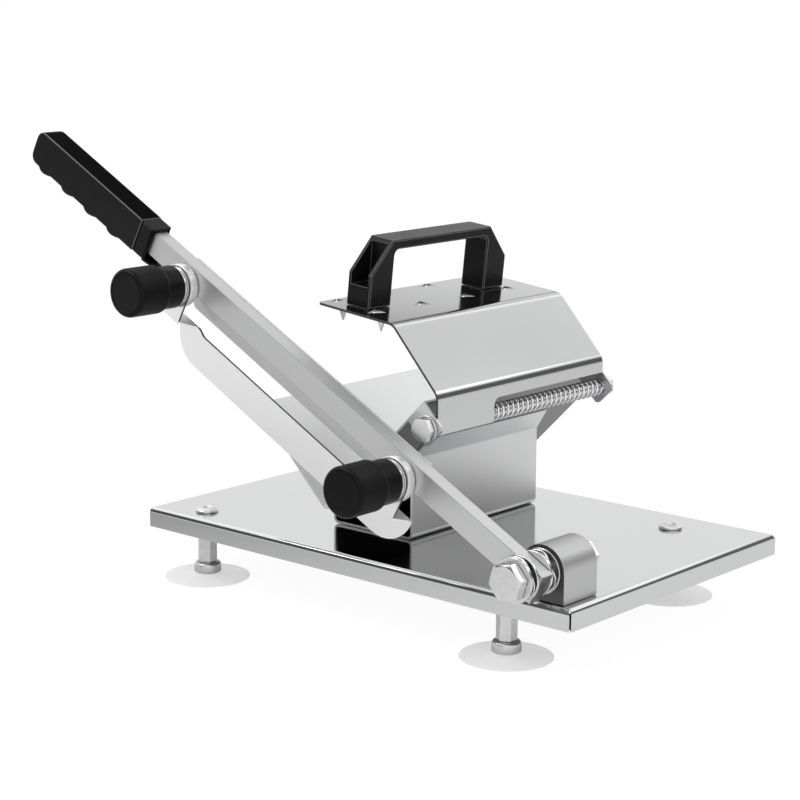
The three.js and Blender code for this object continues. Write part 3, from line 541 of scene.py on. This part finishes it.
def turned(name: str, profile: list[Point], centre: Vector, axis: Axis, steps: int = 64,
           ribs: int = 0, depth: float = 0.0, ribbed: tuple[float, float] = (0, 0),
           hollow: bool = False) -> bpy.types.Object:
    """Turns a profile round an axis, with optional fine ribs over part of its length.

    Args:
        name: the object's name.
        profile: radius and place along the axis, in millimetres from the centre.
        centre: the axis's place, in metres.
        axis: the direction that the axis runs along.
        steps: faces around, where there are no ribs.
        ribs: ribs around.
        depth: the ribs' depth in millimetres.
        ribbed: where along the axis the ribs begin and end.
        hollow: whether the profile is a closed loop round a bore.

    Returns:
        The object.
    """
    bm = bmesh.new()
    count = ribs * 4 if ribs else steps
    rings = []
    for radius, along in profile:
        if radius < WELD:
            rings.append(along)
            continue
        spots = []
        for i in range(count):
            angle = 2 * math.pi * i / count
            r = radius
            if ribs and ribbed[0] <= along <= ribbed[1] and i % 4 in (2, 3):
                r -= depth
            a, b = r * math.cos(angle), r * math.sin(angle)
            local = Vector((a, along, b)) if axis is Axis.Y else Vector((a, b, along))
            spots.append(centre + local * MM)
        rings.append(ring(bm, spots))
    pairs = list(zip(rings, rings[1:]))
    if hollow:
        pairs.append((rings[-1], rings[0]))
    for one, two in pairs:
        if isinstance(one, list) and isinstance(two, list):
            bridge(bm, one, two)
        elif isinstance(one, list) or isinstance(two, list):
            rim = one if isinstance(one, list) else two
            along = two if isinstance(one, list) else one
            local = Vector((0, along, 0)) if axis is Axis.Y else Vector((0, 0, along))
            tip = bm.verts.new(centre + local * MM)
            for i in range(count):
                bm.faces.new((rim[i], rim[(i + 1) % count], tip))
    return shown(name, bm)


def curve(x: float, y: float, radius: float, start: float, end: float, steps: int = 6) -> list[Point]:
    """Points on an arc, in degrees.

    Args:
        x: the middle's first coordinate.
        y: the middle's second coordinate.
        radius: the arc's radius.
        start: first angle.
        end: last angle.
        steps: pieces that the arc is cut into.

    Returns:
        The points.
    """
    return [(x + radius * math.cos(math.radians(start + (end - start) * i / steps)),
             y + radius * math.sin(math.radians(start + (end - start) * i / steps)))
            for i in range(steps + 1)]


def bent(a: Point, b: Point, c: Point, steps: int = 8) -> list[Point]:
    """Points on a quadratic curve, without its first point.

    Args:
        a: where the curve starts.
        b: the point that it is pulled towards.
        c: where it ends.
        steps: pieces that it is cut into.

    Returns:
        The points.
    """
    out = []
    for i in range(1, steps + 1):
        t = i / steps
        out.append(tuple((1 - t) ** 2 * a[k] + 2 * t * (1 - t) * b[k] + t * t * c[k] for k in range(2)))
    return out


@dataclass
class Base:
    """The folded base pan, bright outside, with painted shade on its inner faces and a near-black lap behind
    each corner's slit as painted shade.
    """

    edge: float = 0.22
    sheet: float = 1.5
    bend: float = 3.5
    flange: float = 13.0
    lap: float = 5.0
    lap_sheet: float = 0.8
    lap_gap: float = 0.1
    near: float = 3.0

    def build(self) -> None:
        """Makes the pan and the laps."""
        low, high, _ = Model.span("base_plate")
        # Painted shade: the corner slits' walls get the near-black colour, and the pan's inner faces the dark
        # grey.
        slit = Patch(Finish.SHADE, lambda n, c: abs(abs(n.x) - abs(n.y)) < ASIDE and abs(n.z) < ASIDE)
        Model.wear(refined("base_plate", self.edge), "base_plate", Finish.BASE, slit,
                   Patch(Finish.UNDER_SHADE, self.within))
        for name, x, y, a, b in (("front_left", low.x, low.y, 1, 1),
                                 ("front_right", high.x, low.y, -1, 1),
                                 ("rear_left", low.x, high.y, 1, -1),
                                 ("rear_right", high.x, high.y, -1, -1)):
            # Each lap is a near-black sheet put where there is only shade, so the slit reads black.
            self.corner(f"corner_shade_lap_{name}", Vector((x, y, high.z)), a, b)

    def within(self, normal: Vector, centre: Vector) -> bool:
        """Whether a face lies inside the pan: its underside or the back of a flange.

        Args:
            normal: the face's normal.
            centre: the face's middle.

        Returns:
            True inside the pan.
        """
        low, high, middle = Model.span("base_plate")
        near = self.near * MM
        if normal.z < -SQUARE and centre.z > low.z + near:
            return True
        if abs(normal.z) >= ASIDE or normal.dot(centre - middle) >= 0 or centre.z >= high.z - self.sheet * MM:
            return False
        return any(abs(centre[k] - side[k]) < near for k in (0, 1) for side in (low, high))

    def corner(self, name: str, tip: Vector, a: int, b: int) -> None:
        """A narrow near-black lap inside a corner: painted shade that makes the slit read black.

        Args:
            name: the piece's name.
            tip: the pan's corner, at its top.
            a: 1 where the pan lies towards +X, else -1.
            b: 1 where the pan lies towards +Y, else -1.
        """
        half = self.lap / 2
        inner = self.sheet + half / math.sqrt(2) + self.lap_gap
        inward = Vector((a, b, 0)).normalized()
        across = Vector((-b, a, 0)).normalized()
        middle = tip + Vector((a * inner, b * inner, 0)) * MM
        bm = bmesh.new()
        rings = [ring(bm, [middle + (across * u + inward * v - Vector((0, 0, deep))) * MM
                           for u, v in ((-half, 0), (half, 0), (half - self.lap_sheet, self.lap_sheet),
                                        (self.lap_sheet - half, self.lap_sheet))])
                 for deep in (self.bend, self.flange - self.lap_gap)]
        bridge(bm, rings[0], rings[1])
        for loop in rings:
            bm.faces.new(loop)
        Model.add(shown(name, bm), "base_plate", Finish.SHADE)


@dataclass
class Feet:
    """Four feet: a domed screw through the base, a hexagonal post, a collar and a suction cup."""

    head: float = 15.0
    seat: float = 4.0
    dome: float = 3.0
    upright: float = 0.36
    socket: float = 6.0
    shank: float = 6.0
    collar: float = 17.5
    cup: float = 55.0
    corners: tuple[str, ...] = ("front_left", "front_right", "rear_left", "rear_right")

    def build(self) -> None:
        """Makes every foot."""
        for corner in self.corners:
            self.screw(f"foot_screw_{corner}")
            Model.wear(refined(f"foot_standoff_{corner}", 0.3), f"foot_standoff_{corner}", Finish.HEAD)
            self.ferrule(f"foot_collar_{corner}")
            self.sucker(f"suction_cup_{corner}")

    def screw(self, node: str) -> None:
        """A wide low dome with a shallow socket.

        Args:
            node: the screw that it stands for.
        """
        low, high, middle = Model.span(node)
        foot = Vector((middle.x, middle.y, low.z))
        rim, mouth, seat = self.head / 2, self.socket / 2, (high.z - low.z) / MM - self.seat
        last = math.degrees(math.acos((mouth + 0.5) / rim))
        side = self.dome * self.upright
        over = self.dome - side
        dome = [(rim * math.cos(math.radians(a)), seat + side + over * math.sin(math.radians(a)))
                for a in (last * i / 9 for i in range(10))]
        top = dome[-1][1]
        profile = [(0, 0), (self.shank / 2 - 0.5, 0), (self.shank / 2, 0.5), (self.shank / 2, seat),
                   (rim - 0.4, seat), (rim - 0.1, seat + 0.2), *dome,
                   (mouth + 0.2, top - 0.05), (mouth, top - 0.2), (mouth - 0.4, top - 1.0),
                   (mouth - 1.0, top - 1.3), (0, top - 1.4)]
        Model.wear(turned(f"{node}_fine", profile, foot, Axis.Z, 64), node, Finish.HEAD)

    def ferrule(self, node: str) -> None:
        """The round collar under the post.

        Args:
            node: the collar that it stands for.
        """
        low, high, middle = Model.span(node)
        foot = Vector((middle.x, middle.y, low.z))
        tall, rim, bore = (high.z - low.z) / MM, self.collar / 2, self.shank / 2 + 0.3
        profile = [(bore, 0), (rim - 1.2, 0), *curve(rim - 1.2, 1.2, 1.2, -90, 0, 4),
                   *curve(rim - 2.2, tall - 2.2, 2.2, 0, 90, 6), (bore, tall)]
        Model.wear(turned(f"{node}_fine", profile, foot, Axis.Z, 64, hollow=True), node, Finish.HEAD)

    def sucker(self, node: str) -> None:
        """The soft cup: a thin flat skirt that thickens towards its hub.

        Args:
            node: the cup that it stands for.
        """
        low, high, middle = Model.span(node)
        foot = Vector((middle.x, middle.y, low.z))
        tall, rim, hub = (high.z - low.z) / MM, self.cup / 2, self.collar / 2
        profile = [(0, 1.0), (hub, 1.0), (rim - 6, 0.5), (rim - 2, 0), (rim - 0.5, 0),
                   (rim, 0.3), (rim, 0.7), (rim - 0.6, 1.0), (rim - 8, 1.4), (hub + 5, tall - 1.0),
                   (hub + 1.2, tall - 0.35), (hub, tall), (0, tall)]
        Model.wear(turned(f"{node}_fine", profile, foot, Axis.Z, 96), node, Finish.VINYL)


@dataclass
class Stand:
    """The channel under the trough, the V trough and the pivot block."""

    edge: float = 0.2
    width: float = 64.9
    flange: float = 14.0

    block_edge: float = 0.25
    slant: float = 0.3

    def build(self) -> None:
        """Makes the sheet parts and the block."""
        # Painted shade: the channel's floor and inner walls get the near-black colour.
        Model.wear(refined("stand_channel", self.edge), "stand_channel", Finish.SHEET,
                   Patch(Finish.SHADE, self.inside))
        # Painted shade: the trough's downward faces get the dark grey.
        under = Patch(Finish.UNDER_SHADE, lambda n, c: n.z < -self.slant)
        Model.wear(refined("v_trough", self.edge), "v_trough", Finish.SHEET, under)
        # Painted shade: the block's front and back faces get the dark colour.
        ends = Patch(Finish.CUT_AND_SHADE, lambda n, c: abs(n.y) > SQUARE)
        Model.wear(refined("pivot_block", self.block_edge), "pivot_block", Finish.BLOCK, ends)

    def inside(self, normal: Vector, centre: Vector) -> bool:
        """Whether a face lies inside the channel, below its flared flanges.

        Args:
            normal: the face's normal.
            centre: the face's middle.

        Returns:
            True for the top of the floor and the inner side of each wall.
        """
        _, high, middle = Model.span("stand_channel")
        off = centre.x - middle.x
        if abs(normal.y) >= 0.5 or centre.z >= high.z - self.flange * MM or abs(off) >= self.width / 2 * MM:
            return False
        return normal.z > self.slant or normal.x * off < -WELD


@dataclass
class GuideRod:
    """The rod under the cover, its washer, nut and return spring."""

    outer: float = 11.0
    wire: float = 1.85
    curls: int = 23
    steps: int = 28
    sides: int = 12
    travel: float = 45.0

    def build(self) -> None:
        """Makes the rod's fasteners and the spring."""
        for node in ("guide_rod", "rod_washer", "rod_nut", "pusher_sleeve"):
            Model.wear(refined(node, 0.25), node, Finish.ZINC)
        self.spring("return_spring")

    def spring(self, node: str) -> None:
        """One unbroken wire round the rod, with straight ends.

        Args:
            node: the spring that it stands for.
        """
        low, high, middle = Model.span(node)
        rod = Model.span("rod_nut")[2]
        radius = (self.outer - self.wire) / 2
        start, end = low.y / MM, high.y / MM
        first, last = start + self.wire, end - self.wire
        line = [Vector((radius, start, 0))]
        total = self.curls * self.steps
        for i in range(total + 1):
            angle = 2 * math.pi * i / self.steps
            line.append(Vector((radius * math.cos(angle), first + (last - first) * i / total,
                                radius * math.sin(angle))))
        line.append(Vector((radius, end, 0)))
        bm = bmesh.new()
        rings = []
        for i, spot in enumerate(line):
            ahead = (line[min(i + 1, len(line) - 1)] - line[max(i - 1, 0)]).normalized()
            if i in (0, len(line) - 1):
                ahead = Vector((0, 1, 0))
            out = Vector((spot.x, 0, spot.z)).normalized()
            out = (out - ahead * out.dot(ahead)).normalized()
            side = ahead.cross(out)
            turns = (2 * math.pi * k / self.sides for k in range(self.sides))
            round_wire = [spot + (out * math.cos(t) + side * math.sin(t)) * self.wire / 2 for t in turns]
            rings.append(ring(bm, [Vector((rod.x, 0, rod.z)) + place * MM for place in round_wire]))
        for one, two in zip(rings, rings[1:]):
            bridge(bm, one, two)
        bm.faces.new(rings[0])
        bm.faces.new(rings[-1])
        piece = Model.wear(shown(f"{node}_fine", bm), node, Finish.CHROME)
        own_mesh(piece)


@dataclass
class Pusher:
    """The press cover with its teeth, the bail handle and its screws."""

    edge: float = 0.2
    ear: float = 6.6
    end: float = 0.4
    lip: float = 4.0

    def build(self) -> None:
        """Makes the cover, the handle and the screws."""
        low, high, _ = Model.span("pusher_plate")
        above = Model.span("rod_nut")[2].z + self.ear * MM
        sheared = Patch(Finish.CUT_AND_SHADE, lambda n, c: c.z > above and (
            (n.y < -SQUARE and c.y < low.y + self.end * MM)
            or (n.y > SQUARE and c.y > high.y - self.end * MM)
            or (n.x < -0.8 and c.x < low.x + self.lip * MM)))
        # The cover's rounded edges get painted shade: a dark line along them.
        Model.wear(refined("pusher_plate", self.edge, cuts=(above,)), "pusher_plate",
                   Finish.COVER, sheared, rim=Finish.SHADE_RIM)
        # The handle's rounded edges get a painted highlight: a pale line along them.
        Model.wear(refined("pusher_handle", 0.6, 3), "pusher_handle", Finish.BLACK, rim=Finish.HIGHLIGHT_EDGE)
        for end in ("front", "rear"):
            node = f"handle_screw_{end}"
            Model.wear(refined(node, 0.2), node, Finish.ZINC)


@dataclass
class Pivot:
    """The bolt that the arm turns on, with flat and wave washers."""

    bore: float = 12.2
    wave: float = 25.0
    thick: float = 1.1
    waves: int = 3
    steps: int = 96

    def build(self) -> None:
        """Makes the bolt, the nuts and the washers."""
        flat = ("front_washer_outer", "front_washer_inner", "rear_washer_inner", "rear_washer_outer",
                "back_washer")
        for node in (*flat, "pivot_bolt", "back_nut"):
            Model.wear(refined(node, 0.3), node, Finish.ZINC)
        for node in ("front_wave_washer", "rear_wave_washer"):
            self.waved(node)

    def waved(self, node: str) -> None:
        """A ring whose faces rise and fall round the bolt.

        Args:
            node: the washer that it stands for.
        """
        low, high, middle = Model.span(node)
        swing = ((high.y - low.y) / MM - self.thick) / 2
        hole, rim, thick = self.bore / 2, self.wave / 2, self.thick
        bm = bmesh.new()
        rings = []
        for radius, along in ((hole, 0.15), (hole + 0.15, 0), (rim - 0.25, 0), (rim, 0.25),
                              (rim, thick - 0.25), (rim - 0.25, thick), (hole + 0.15, thick),
                              (hole, thick - 0.15)):
            spots = []
            for i in range(self.steps):
                angle = 2 * math.pi * i / self.steps
                rise = swing * (1 + math.cos(self.waves * angle))
                spots.append(Vector((middle.x, low.y, middle.z)) + Vector(
                    (radius * math.sin(angle), along + rise, radius * math.cos(angle))) * MM)
            rings.append(ring(bm, spots))
        for one, two in zip(rings, rings[1:] + rings[:1]):
            bridge(bm, one, two)
        Model.wear(shown(f"{node}_fine", bm), node, Finish.ZINC)


@dataclass
class Arm:
    """The lever arm with its grip, raised on the pivot."""

    rest: float = 28.2
    start: float = 344.3
    length: float = 109.5
    width: float = 16.5
    rise: float = 12.4
    drop: float = 10.3
    corner: float = 7.0
    first: float = 22.0
    pitch: float = 24.4
    bump: float = 2.0
    bumps: int = 4
    round: float = 1.5

    def build(self) -> None:
        """Makes the bar, the strip, the bolster and the grip."""
        # Painted shade on the bar's tail end, and a dark line of painted shade along its rounded edges.
        tail = Patch(Finish.TAIL, lambda n, c: n.x > 0.6 and abs(n.y) < 0.3)
        Model.wear(refined("arm_bar", 0.3), "arm_bar", Finish.BAR, tail, rim=Finish.SHADE_RIM)
        Model.wear(refined("arm_backing_strip", 0.2), "arm_backing_strip", Finish.BAR)
        # The bolster's rounded edges get a painted highlight.
        Model.wear(refined("grip_bolster", 0.5, 3), "grip_bolster", Finish.BLACK, rim=Finish.HIGHLIGHT_EDGE)
        self.grip("arm_grip")

    def frame(self) -> Matrix:
        """From the arm's own frame, in millimetres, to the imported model.

        Returns:
            The matrix.
        """
        bolt = Model.span("pivot_bolt")[2]
        return (Matrix.Translation((bolt.x, 0, bolt.z)) @ Matrix.Rotation(math.radians(self.rest), 4, "Y")
                @ Matrix.Scale(MM, 4))

    def outline(self) -> list[Point]:
        """The grip's side view: a rounded end, a flat top and finger bumps below.

        Returns:
            Its points in the arm's own frame, in millimetres.
        """
        end, top, low, r = self.start + self.length, self.rise, -self.drop, self.corner
        line = [(-self.start, top), (-end + r, top)]
        line += bent(line[-1], (-end, top), (-end, top - r))
        line.append((-end, low + r))
        line += bent(line[-1], (-end, low), (-end + r, low))
        for i in reversed(range(self.bumps)):
            peak = -self.start - self.first - i * self.pitch
            line.append((peak - self.pitch / 5, low))
            line += bent(line[-1], (peak - self.pitch / 8, low - self.bump), (peak, low - self.bump))
            line += bent(line[-1], (peak + self.pitch / 8, low - self.bump), (peak + self.pitch / 3, low))
        line.append((-self.start, low))
        return line

    def grip(self, node: str) -> None:
        """The moulded grip, with its long edges well rounded.

        Args:
            node: the grip that it stands for.
        """
        middle = Model.span(node)[2].y / MM
        place = self.frame()
        bm = bmesh.new()
        sides = []
        for y in (middle - self.width / 2, middle + self.width / 2):
            sides.append(ring(bm, [place @ Vector((x, y, z)) for x, z in self.outline()]))
        bridge(bm, sides[0], sides[1])
        bm.faces.new(sides[0])
        bm.faces.new(sides[1])
        piece = soften(shown(f"{node}_fine", bm, 35), self.round, 4, 40)
        # Painted shade on the grip's top; a painted highlight along its rounded edges.
        top = Patch(Finish.SHADED_TOP, lambda n, c: n.z > 0.8)
        Model.wear(piece, node, Finish.BLACK, top, rim=Finish.HIGHLIGHT_EDGE)


@dataclass
class Clamps:
    """On each stud a thickness nut, a washer and a clamping knob."""

    nut: float = 27.0
    nut_ribs: int = 64
    knob: float = 30.0
    neck: float = 26.5
    neck_length: float = 13.0
    rim: float = 3.0
    knob_ribs: int = 90
    bore: float = 8.6
    hole: float = 20.0
    washer: float = 24.0

    def build(self) -> None:
        """Makes both stacks."""
        for side in ("upper", "lower"):
            Model.wear(refined(f"stud_{side}", 0.2), f"stud_{side}", Finish.ZINC)
            self.thickness_nut(f"thickness_nut_{side}")
            self.knob_washer(f"knob_washer_{side}")
            self.clamp_knob(f"clamp_knob_{side}")

    def thickness_nut(self, node: str) -> None:
        """A flat round nut with a knurled rim.

        Args:
            node: the nut that it stands for.
        """
        low, high, middle = Model.span(node)
        front = Vector((middle.x, low.y, middle.z))
        deep, rim, bore = (high.y - low.y) / MM, self.nut / 2, self.bore / 2
        profile = [(bore, 0.4), (bore + 0.4, 0), (rim - 1.3, 0), (rim - 0.5, 0.35), (rim, 0.9),
                   (rim, deep - 0.9), (rim - 0.5, deep - 0.35), (rim - 1.3, deep), (bore + 0.4, deep),
                   (bore, deep - 0.4)]
        piece = turned(f"{node}_fine", profile, front, Axis.Y, ribs=self.nut_ribs, depth=0.5,
                       ribbed=(0.8, deep - 0.8), hollow=True)
        Model.wear(piece, node, Finish.KNURL)

    def knob_washer(self, node: str) -> None:
        """The bright washer behind the knob.

        Args:
            node: the washer that it stands for.
        """
        low, high, middle = Model.span(node)
        front = Vector((middle.x, low.y, middle.z))
        deep, rim, bore = (high.y - low.y) / MM, self.washer / 2, self.bore / 2
        profile = [(bore, 0), *curve(rim - 0.35, 0.35, 0.35, -90, 0, 4),
                   *curve(rim - 0.35, deep - 0.35, 0.35, 0, 90, 4), (bore, deep)]
        Model.wear(turned(f"{node}_fine", profile, front, Axis.Y, 96, hollow=True), node, Finish.CHROME)

    def clamp_knob(self, node: str) -> None:
        """The black knob: rounded face edge, finely ribbed barrel, shoulder and plain neck.

        Args:
            node: the knob that it stands for.
        """
        low, high, middle = Model.span(node)
        front = Vector((middle.x, low.y, middle.z))
        deep, rim, neck, r = (high.y - low.y) / MM, self.knob / 2, self.neck / 2, self.rim
        step = deep - self.neck_length
        shoulder = curve(rim - 1.7, step - 2.6, 1.7, 0, 70, 5)
        profile = [(0, 0.35), (rim - r - 0.5, 0.35), (rim - r - 0.2, 0.05), (rim - r, 0.0),
                   *curve(rim - r, r, r, -80, 0, 7), (rim, r + 0.6), (rim, step - 3.2), *shoulder,
                   (neck + 0.5, step - 0.35), (neck, step + 0.3), (neck, deep - 1.2),
                   *curve(neck - 1.2, deep - 1.2, 1.2, 0, 90, 4),
                   (self.bore / 2, deep), (self.bore / 2, deep - self.hole), (0, deep - self.hole)]
        piece = turned(f"{node}_fine", profile, front, Axis.Y, ribs=self.knob_ribs, depth=0.14,
                       ribbed=(r + 0.5, step - 3.1))
        Model.wear(piece, node, Finish.KNOB)


@dataclass
class Blade:
    """The blade with its two ears."""

    edge: float = 0.2
    sheet: float = 1.6
    slack: float = 0.55

    def build(self) -> None:
        """Makes the blade. A face about as narrow as its sheet is a cut edge."""
        piece = refined("blade", self.edge)
        narrow = {tuple(face.center) for face in piece.data.polygons
                  if face.area < self.sheet * self.slack * MM * self.girth(piece, face)}
        sheared = Patch(Finish.CUT_AND_SHADE, lambda n, c: abs(n.y) < 0.3 and tuple(c) in narrow)
        # The blade's rounded edges get painted shade: a dark line along them.
        Model.wear(piece, "blade", Finish.BLADE, sheared, rim=Finish.SHADE_RIM)

    @staticmethod
    def girth(piece: bpy.types.Object, face: bpy.types.MeshPolygon) -> float:
        """The length of a face's outline."""
        spots = [piece.data.vertices[i].co for i in face.vertices]
        return sum((a - b).length for a, b in zip(spots, spots[1:] + spots[:1]))


@dataclass(frozen=True)
class Card:
    """A card round the set, seen only in gloss: its place and soft edge in degrees, and its brightness."""

    name: str
    around: tuple[float, float]
    height: tuple[float, float]
    level: float
    soft: float

    def cover(self, turn: float, rise: float) -> float:
        """How much of the card shows at a place.

        Args:
            turn: the place's angle round the set, in degrees.
            rise: its height, in degrees.

        Returns:
            0 at the card's border and 1 further in than its soft edge.
        """
        inside = min(turn - self.around[0], self.around[1] - turn,
                     rise - self.height[0], self.height[1] - rise)
        t = max(0.0, min(1.0, inside / self.soft))
        return t * t * (3 - 2 * t)


@dataclass
class Studio:
    """A white floor, soft lamps, cards that shape the gloss and the camera at the photograph's angle."""

    eye: tuple[float, float, float] = (0.87026, -0.98831, 0.39080)
    ahead: tuple[float, float, float] = (-0.6589, 0.7267, -0.1942)
    lens: float = 95.418
    shift: Point = (0.0734, -0.01805)
    fill: float = 0.62
    seen_floor: float = 0.9
    floor_glow: float = 1.06
    mirrored_floor: float = 0.3
    shade_middle: tuple[float, float] = (-0.36, -0.25)
    shade_reach: tuple[float, float] = (0.5, 0.3)
    shade: float = 0.85
    shade_glow: float = 0.1
    far: float = 2.6
    step: float = 0.03
    columns: int = 40
    lines: int = 20
    cards: tuple[Card, ...] = (
        Card("light_bend", (46, 67), (28, 41), 2.3, 4),
        Card("card_right", (24, 66), (0.5, 26), 0.14, 4),
        Card("light_right", (74, 98), (31, 50), 1.4, 4),
        Card("card_top", (94, 128), (37, 68), 0.6, 4),
        Card("card_bend", (112, 134), (19.5, 30), 0.12, 5),
        Card("card_front", (204, 285), (0.5, 40), 0.1, 5),
        Card("light_front", (140, 206), (32, 57), 1.35, 6),
    )

    def build(self) -> None:
        """Makes the stage and the camera."""
        self.world()
        self.floor()
        self.lamps()
        for place, card in enumerate(self.cards):
            self.card(card, self.far + place * self.step)
        self.camera()

    @staticmethod
    def weigh(n: bpy.types.NodeTree, camera: float, gloss: float) -> bpy.types.NodeSocket:
        """A value that differs between what is seen, what is mirrored and plain light, where it is 0.

        Args:
            n: the node tree.
            camera: the value where the camera looks, straight or through clear pieces.
            gloss: the value in gloss.

        Returns:
            The value.
        """
        path = n.nodes.new("ShaderNodeLightPath")
        outputs = []
        for name, value in (("Is Camera Ray", camera), ("Is Transmission Ray", camera),
                            ("Is Glossy Ray", gloss)):
            times = n.nodes.new("ShaderNodeMath")
            times.operation = "MULTIPLY"
            times.inputs[1].default_value = value
            n.links.new(path.outputs[name], times.inputs[0])
            outputs.append(times.outputs[0])
        for other in outputs[1:]:
            most = n.nodes.new("ShaderNodeMath")
            most.operation = "MAXIMUM"
            n.links.new(outputs[0], most.inputs[0])
            n.links.new(other, most.inputs[1])
            outputs[0] = most.outputs[0]
        return outputs[0]

    def world(self) -> None:
        """White where it is seen, softer as light."""
        world = bpy.data.worlds.new("studio")
        world.use_nodes = True
        bpy.context.scene.world = world
        tree = world.node_tree
        back = tree.nodes["Background"]
        back.inputs["Color"].default_value = (1, 1, 1, 1)
        level = tree.nodes.new("ShaderNodeMapRange")
        level.inputs["To Min"].default_value = self.fill
        level.inputs["To Max"].default_value = 1.0
        tree.links.new(self.weigh(tree, 1.0, 1.0), level.inputs["Value"])
        tree.links.new(level.outputs["Result"], back.inputs["Strength"])

    def floor(self) -> None:
        """A wide white floor that keeps a soft shadow, and is greyer in gloss near the left front."""
        bm = bmesh.new()
        bmesh.ops.create_circle(bm, cap_ends=True, segments=96, radius=30.0)
        floor = shown("floor", bm)
        floor.location.z = -0.0002
        n = Nodes("white_floor")
        n.set(Base_Color=(0.94, 0.94, 0.94, 1), Roughness=0.9, Specular_IOR_Level=0.0)
        mapping = n.tree.nodes.new("ShaderNodeMapping")
        mapping.vector_type = "TEXTURE"
        mapping.inputs["Location"].default_value = (*self.shade_middle, 0)
        mapping.inputs["Scale"].default_value = (*self.shade_reach, 1)
        round_spot = n.tree.nodes.new("ShaderNodeTexGradient")
        round_spot.gradient_type = "SPHERICAL"
        n.tree.links.new(n.place, mapping.inputs["Vector"])
        n.tree.links.new(mapping.outputs["Vector"], round_spot.inputs["Vector"])
        shaded = n.math("MULTIPLY", round_spot.outputs["Fac"], self.weigh(n.tree, 0.0, self.shade))
        last = n.shader.outputs["BSDF"]
        seen = self.weigh(n.tree, self.seen_floor, self.mirrored_floor)
        for level, share in ((self.floor_glow, seen), (self.shade_glow, shaded)):
            glow = n.tree.nodes.new("ShaderNodeEmission")
            glow.inputs["Color"].default_value = (1, 1, 1, 1)
            glow.inputs["Strength"].default_value = level
            mix = n.tree.nodes.new("ShaderNodeMixShader")
            n.tree.links.new(share, mix.inputs["Fac"])
            n.tree.links.new(last, mix.inputs[1])
            n.tree.links.new(glow.outputs["Emission"], mix.inputs[2])
            last = mix.outputs["Shader"]
        n.tree.links.new(last, n.tree.nodes["Material Output"].inputs["Surface"])
        floor.data.materials.append(n.material)

    @staticmethod
    def lamps() -> None:
        """A large soft key from the left front and weaker ones from the right and from behind."""
        for name, place, size, power in (("key", (-1.3, -1.5, 2.2), 1.6, 26.0),
                                         ("side", (2.0, -0.4, 1.6), 1.2, 8.0),
                                         ("back", (-0.6, 2.2, 2.4), 1.4, 9.0)):
            lamp = bpy.data.lights.new(name, "AREA")
            lamp.shape = "DISK"
            lamp.size = size
            lamp.energy = power
            obj = bpy.data.objects.new(name, lamp)
            obj.location = place
            obj.rotation_mode = "QUATERNION"
            obj.rotation_quaternion = (Vector((0, 0, 0.08)) - Vector(place)).to_track_quat("-Z", "Y")
            obj.visible_glossy = name == "key"
            bpy.context.scene.collection.objects.link(obj)

    def card(self, card: Card, far: float) -> None:
        """A curved card with soft edges, which puts a pale or a dark line along the bends.

        Args:
            card: the card.
            far: its distance from the middle of the set, in metres.
        """
        n = Nodes(card.name)
        glow = n.tree.nodes.new("ShaderNodeEmission")
        glow.inputs["Color"].default_value = (1, 1, 1, 1)
        glow.inputs["Strength"].default_value = card.level
        clear = n.tree.nodes.new("ShaderNodeBsdfTransparent")
        cover = n.tree.nodes.new("ShaderNodeAttribute")
        cover.attribute_name = "cover"
        mix = n.tree.nodes.new("ShaderNodeMixShader")
        n.tree.links.new(cover.outputs["Fac"], mix.inputs["Fac"])
        n.tree.links.new(clear.outputs["BSDF"], mix.inputs[1])
        n.tree.links.new(glow.outputs["Emission"], mix.inputs[2])
        n.tree.links.new(mix.outputs["Shader"], n.tree.nodes["Material Output"].inputs["Surface"])
        bm = bmesh.new()
        shares = []
        rows = []
        for j in range(self.lines + 1):
            rise = card.height[0] + (card.height[1] - card.height[0]) * j / self.lines
            up = math.radians(rise)
            flat = math.cos(up)
            spots = []
            for i in range(self.columns + 1):
                turn = card.around[0] + (card.around[1] - card.around[0]) * i / self.columns
                side = math.radians(turn)
                spots.append(Vector((flat * math.cos(side), flat * math.sin(side), math.sin(up))) * far)
                shares.append(card.cover(turn, rise))
            rows.append(ring(bm, spots))
        for one, two in zip(rows, rows[1:]):
            for i in range(self.columns):
                bm.faces.new((one[i], one[i + 1], two[i + 1], two[i]))
        obj = shown(card.name, bm)
        obj.data.attributes.new("cover", "FLOAT", "POINT").data.foreach_set("value", shares)
        obj.visible_camera = False
        obj.visible_diffuse = False
        obj.visible_transmission = False
        obj.visible_shadow = False
        obj.data.materials.append(n.material)

    def camera(self) -> None:
        """The camera, at the photograph's place."""
        data = bpy.data.cameras.new("camera")
        data.sensor_width = 36.0
        data.lens = self.lens
        data.shift_x, data.shift_y = self.shift
        data.clip_start, data.clip_end = 0.01, 100.0
        camera = bpy.data.objects.new("camera", data)
        camera.location = self.eye
        camera.rotation_mode = "QUATERNION"
        camera.rotation_quaternion = Vector(self.ahead).to_track_quat("-Z", "Y")
        bpy.context.scene.collection.objects.link(camera)
        bpy.context.scene.camera = camera


def main() -> None:
    """Builds every sub-assembly and the studio."""
    logging.basicConfig(level=logging.INFO, format="%(message)s")
    bpy.context.scene.view_settings.view_transform = "Standard"
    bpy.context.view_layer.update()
    parts = (Base(), Feet(), Stand(), GuideRod(), Pusher(), Pivot(), Arm(), Clamps(), Blade(), Studio())
    for part in parts:
        LOG.info("building %s", type(part).__name__)
        part.build()


if __name__ == "__main__":
    main()
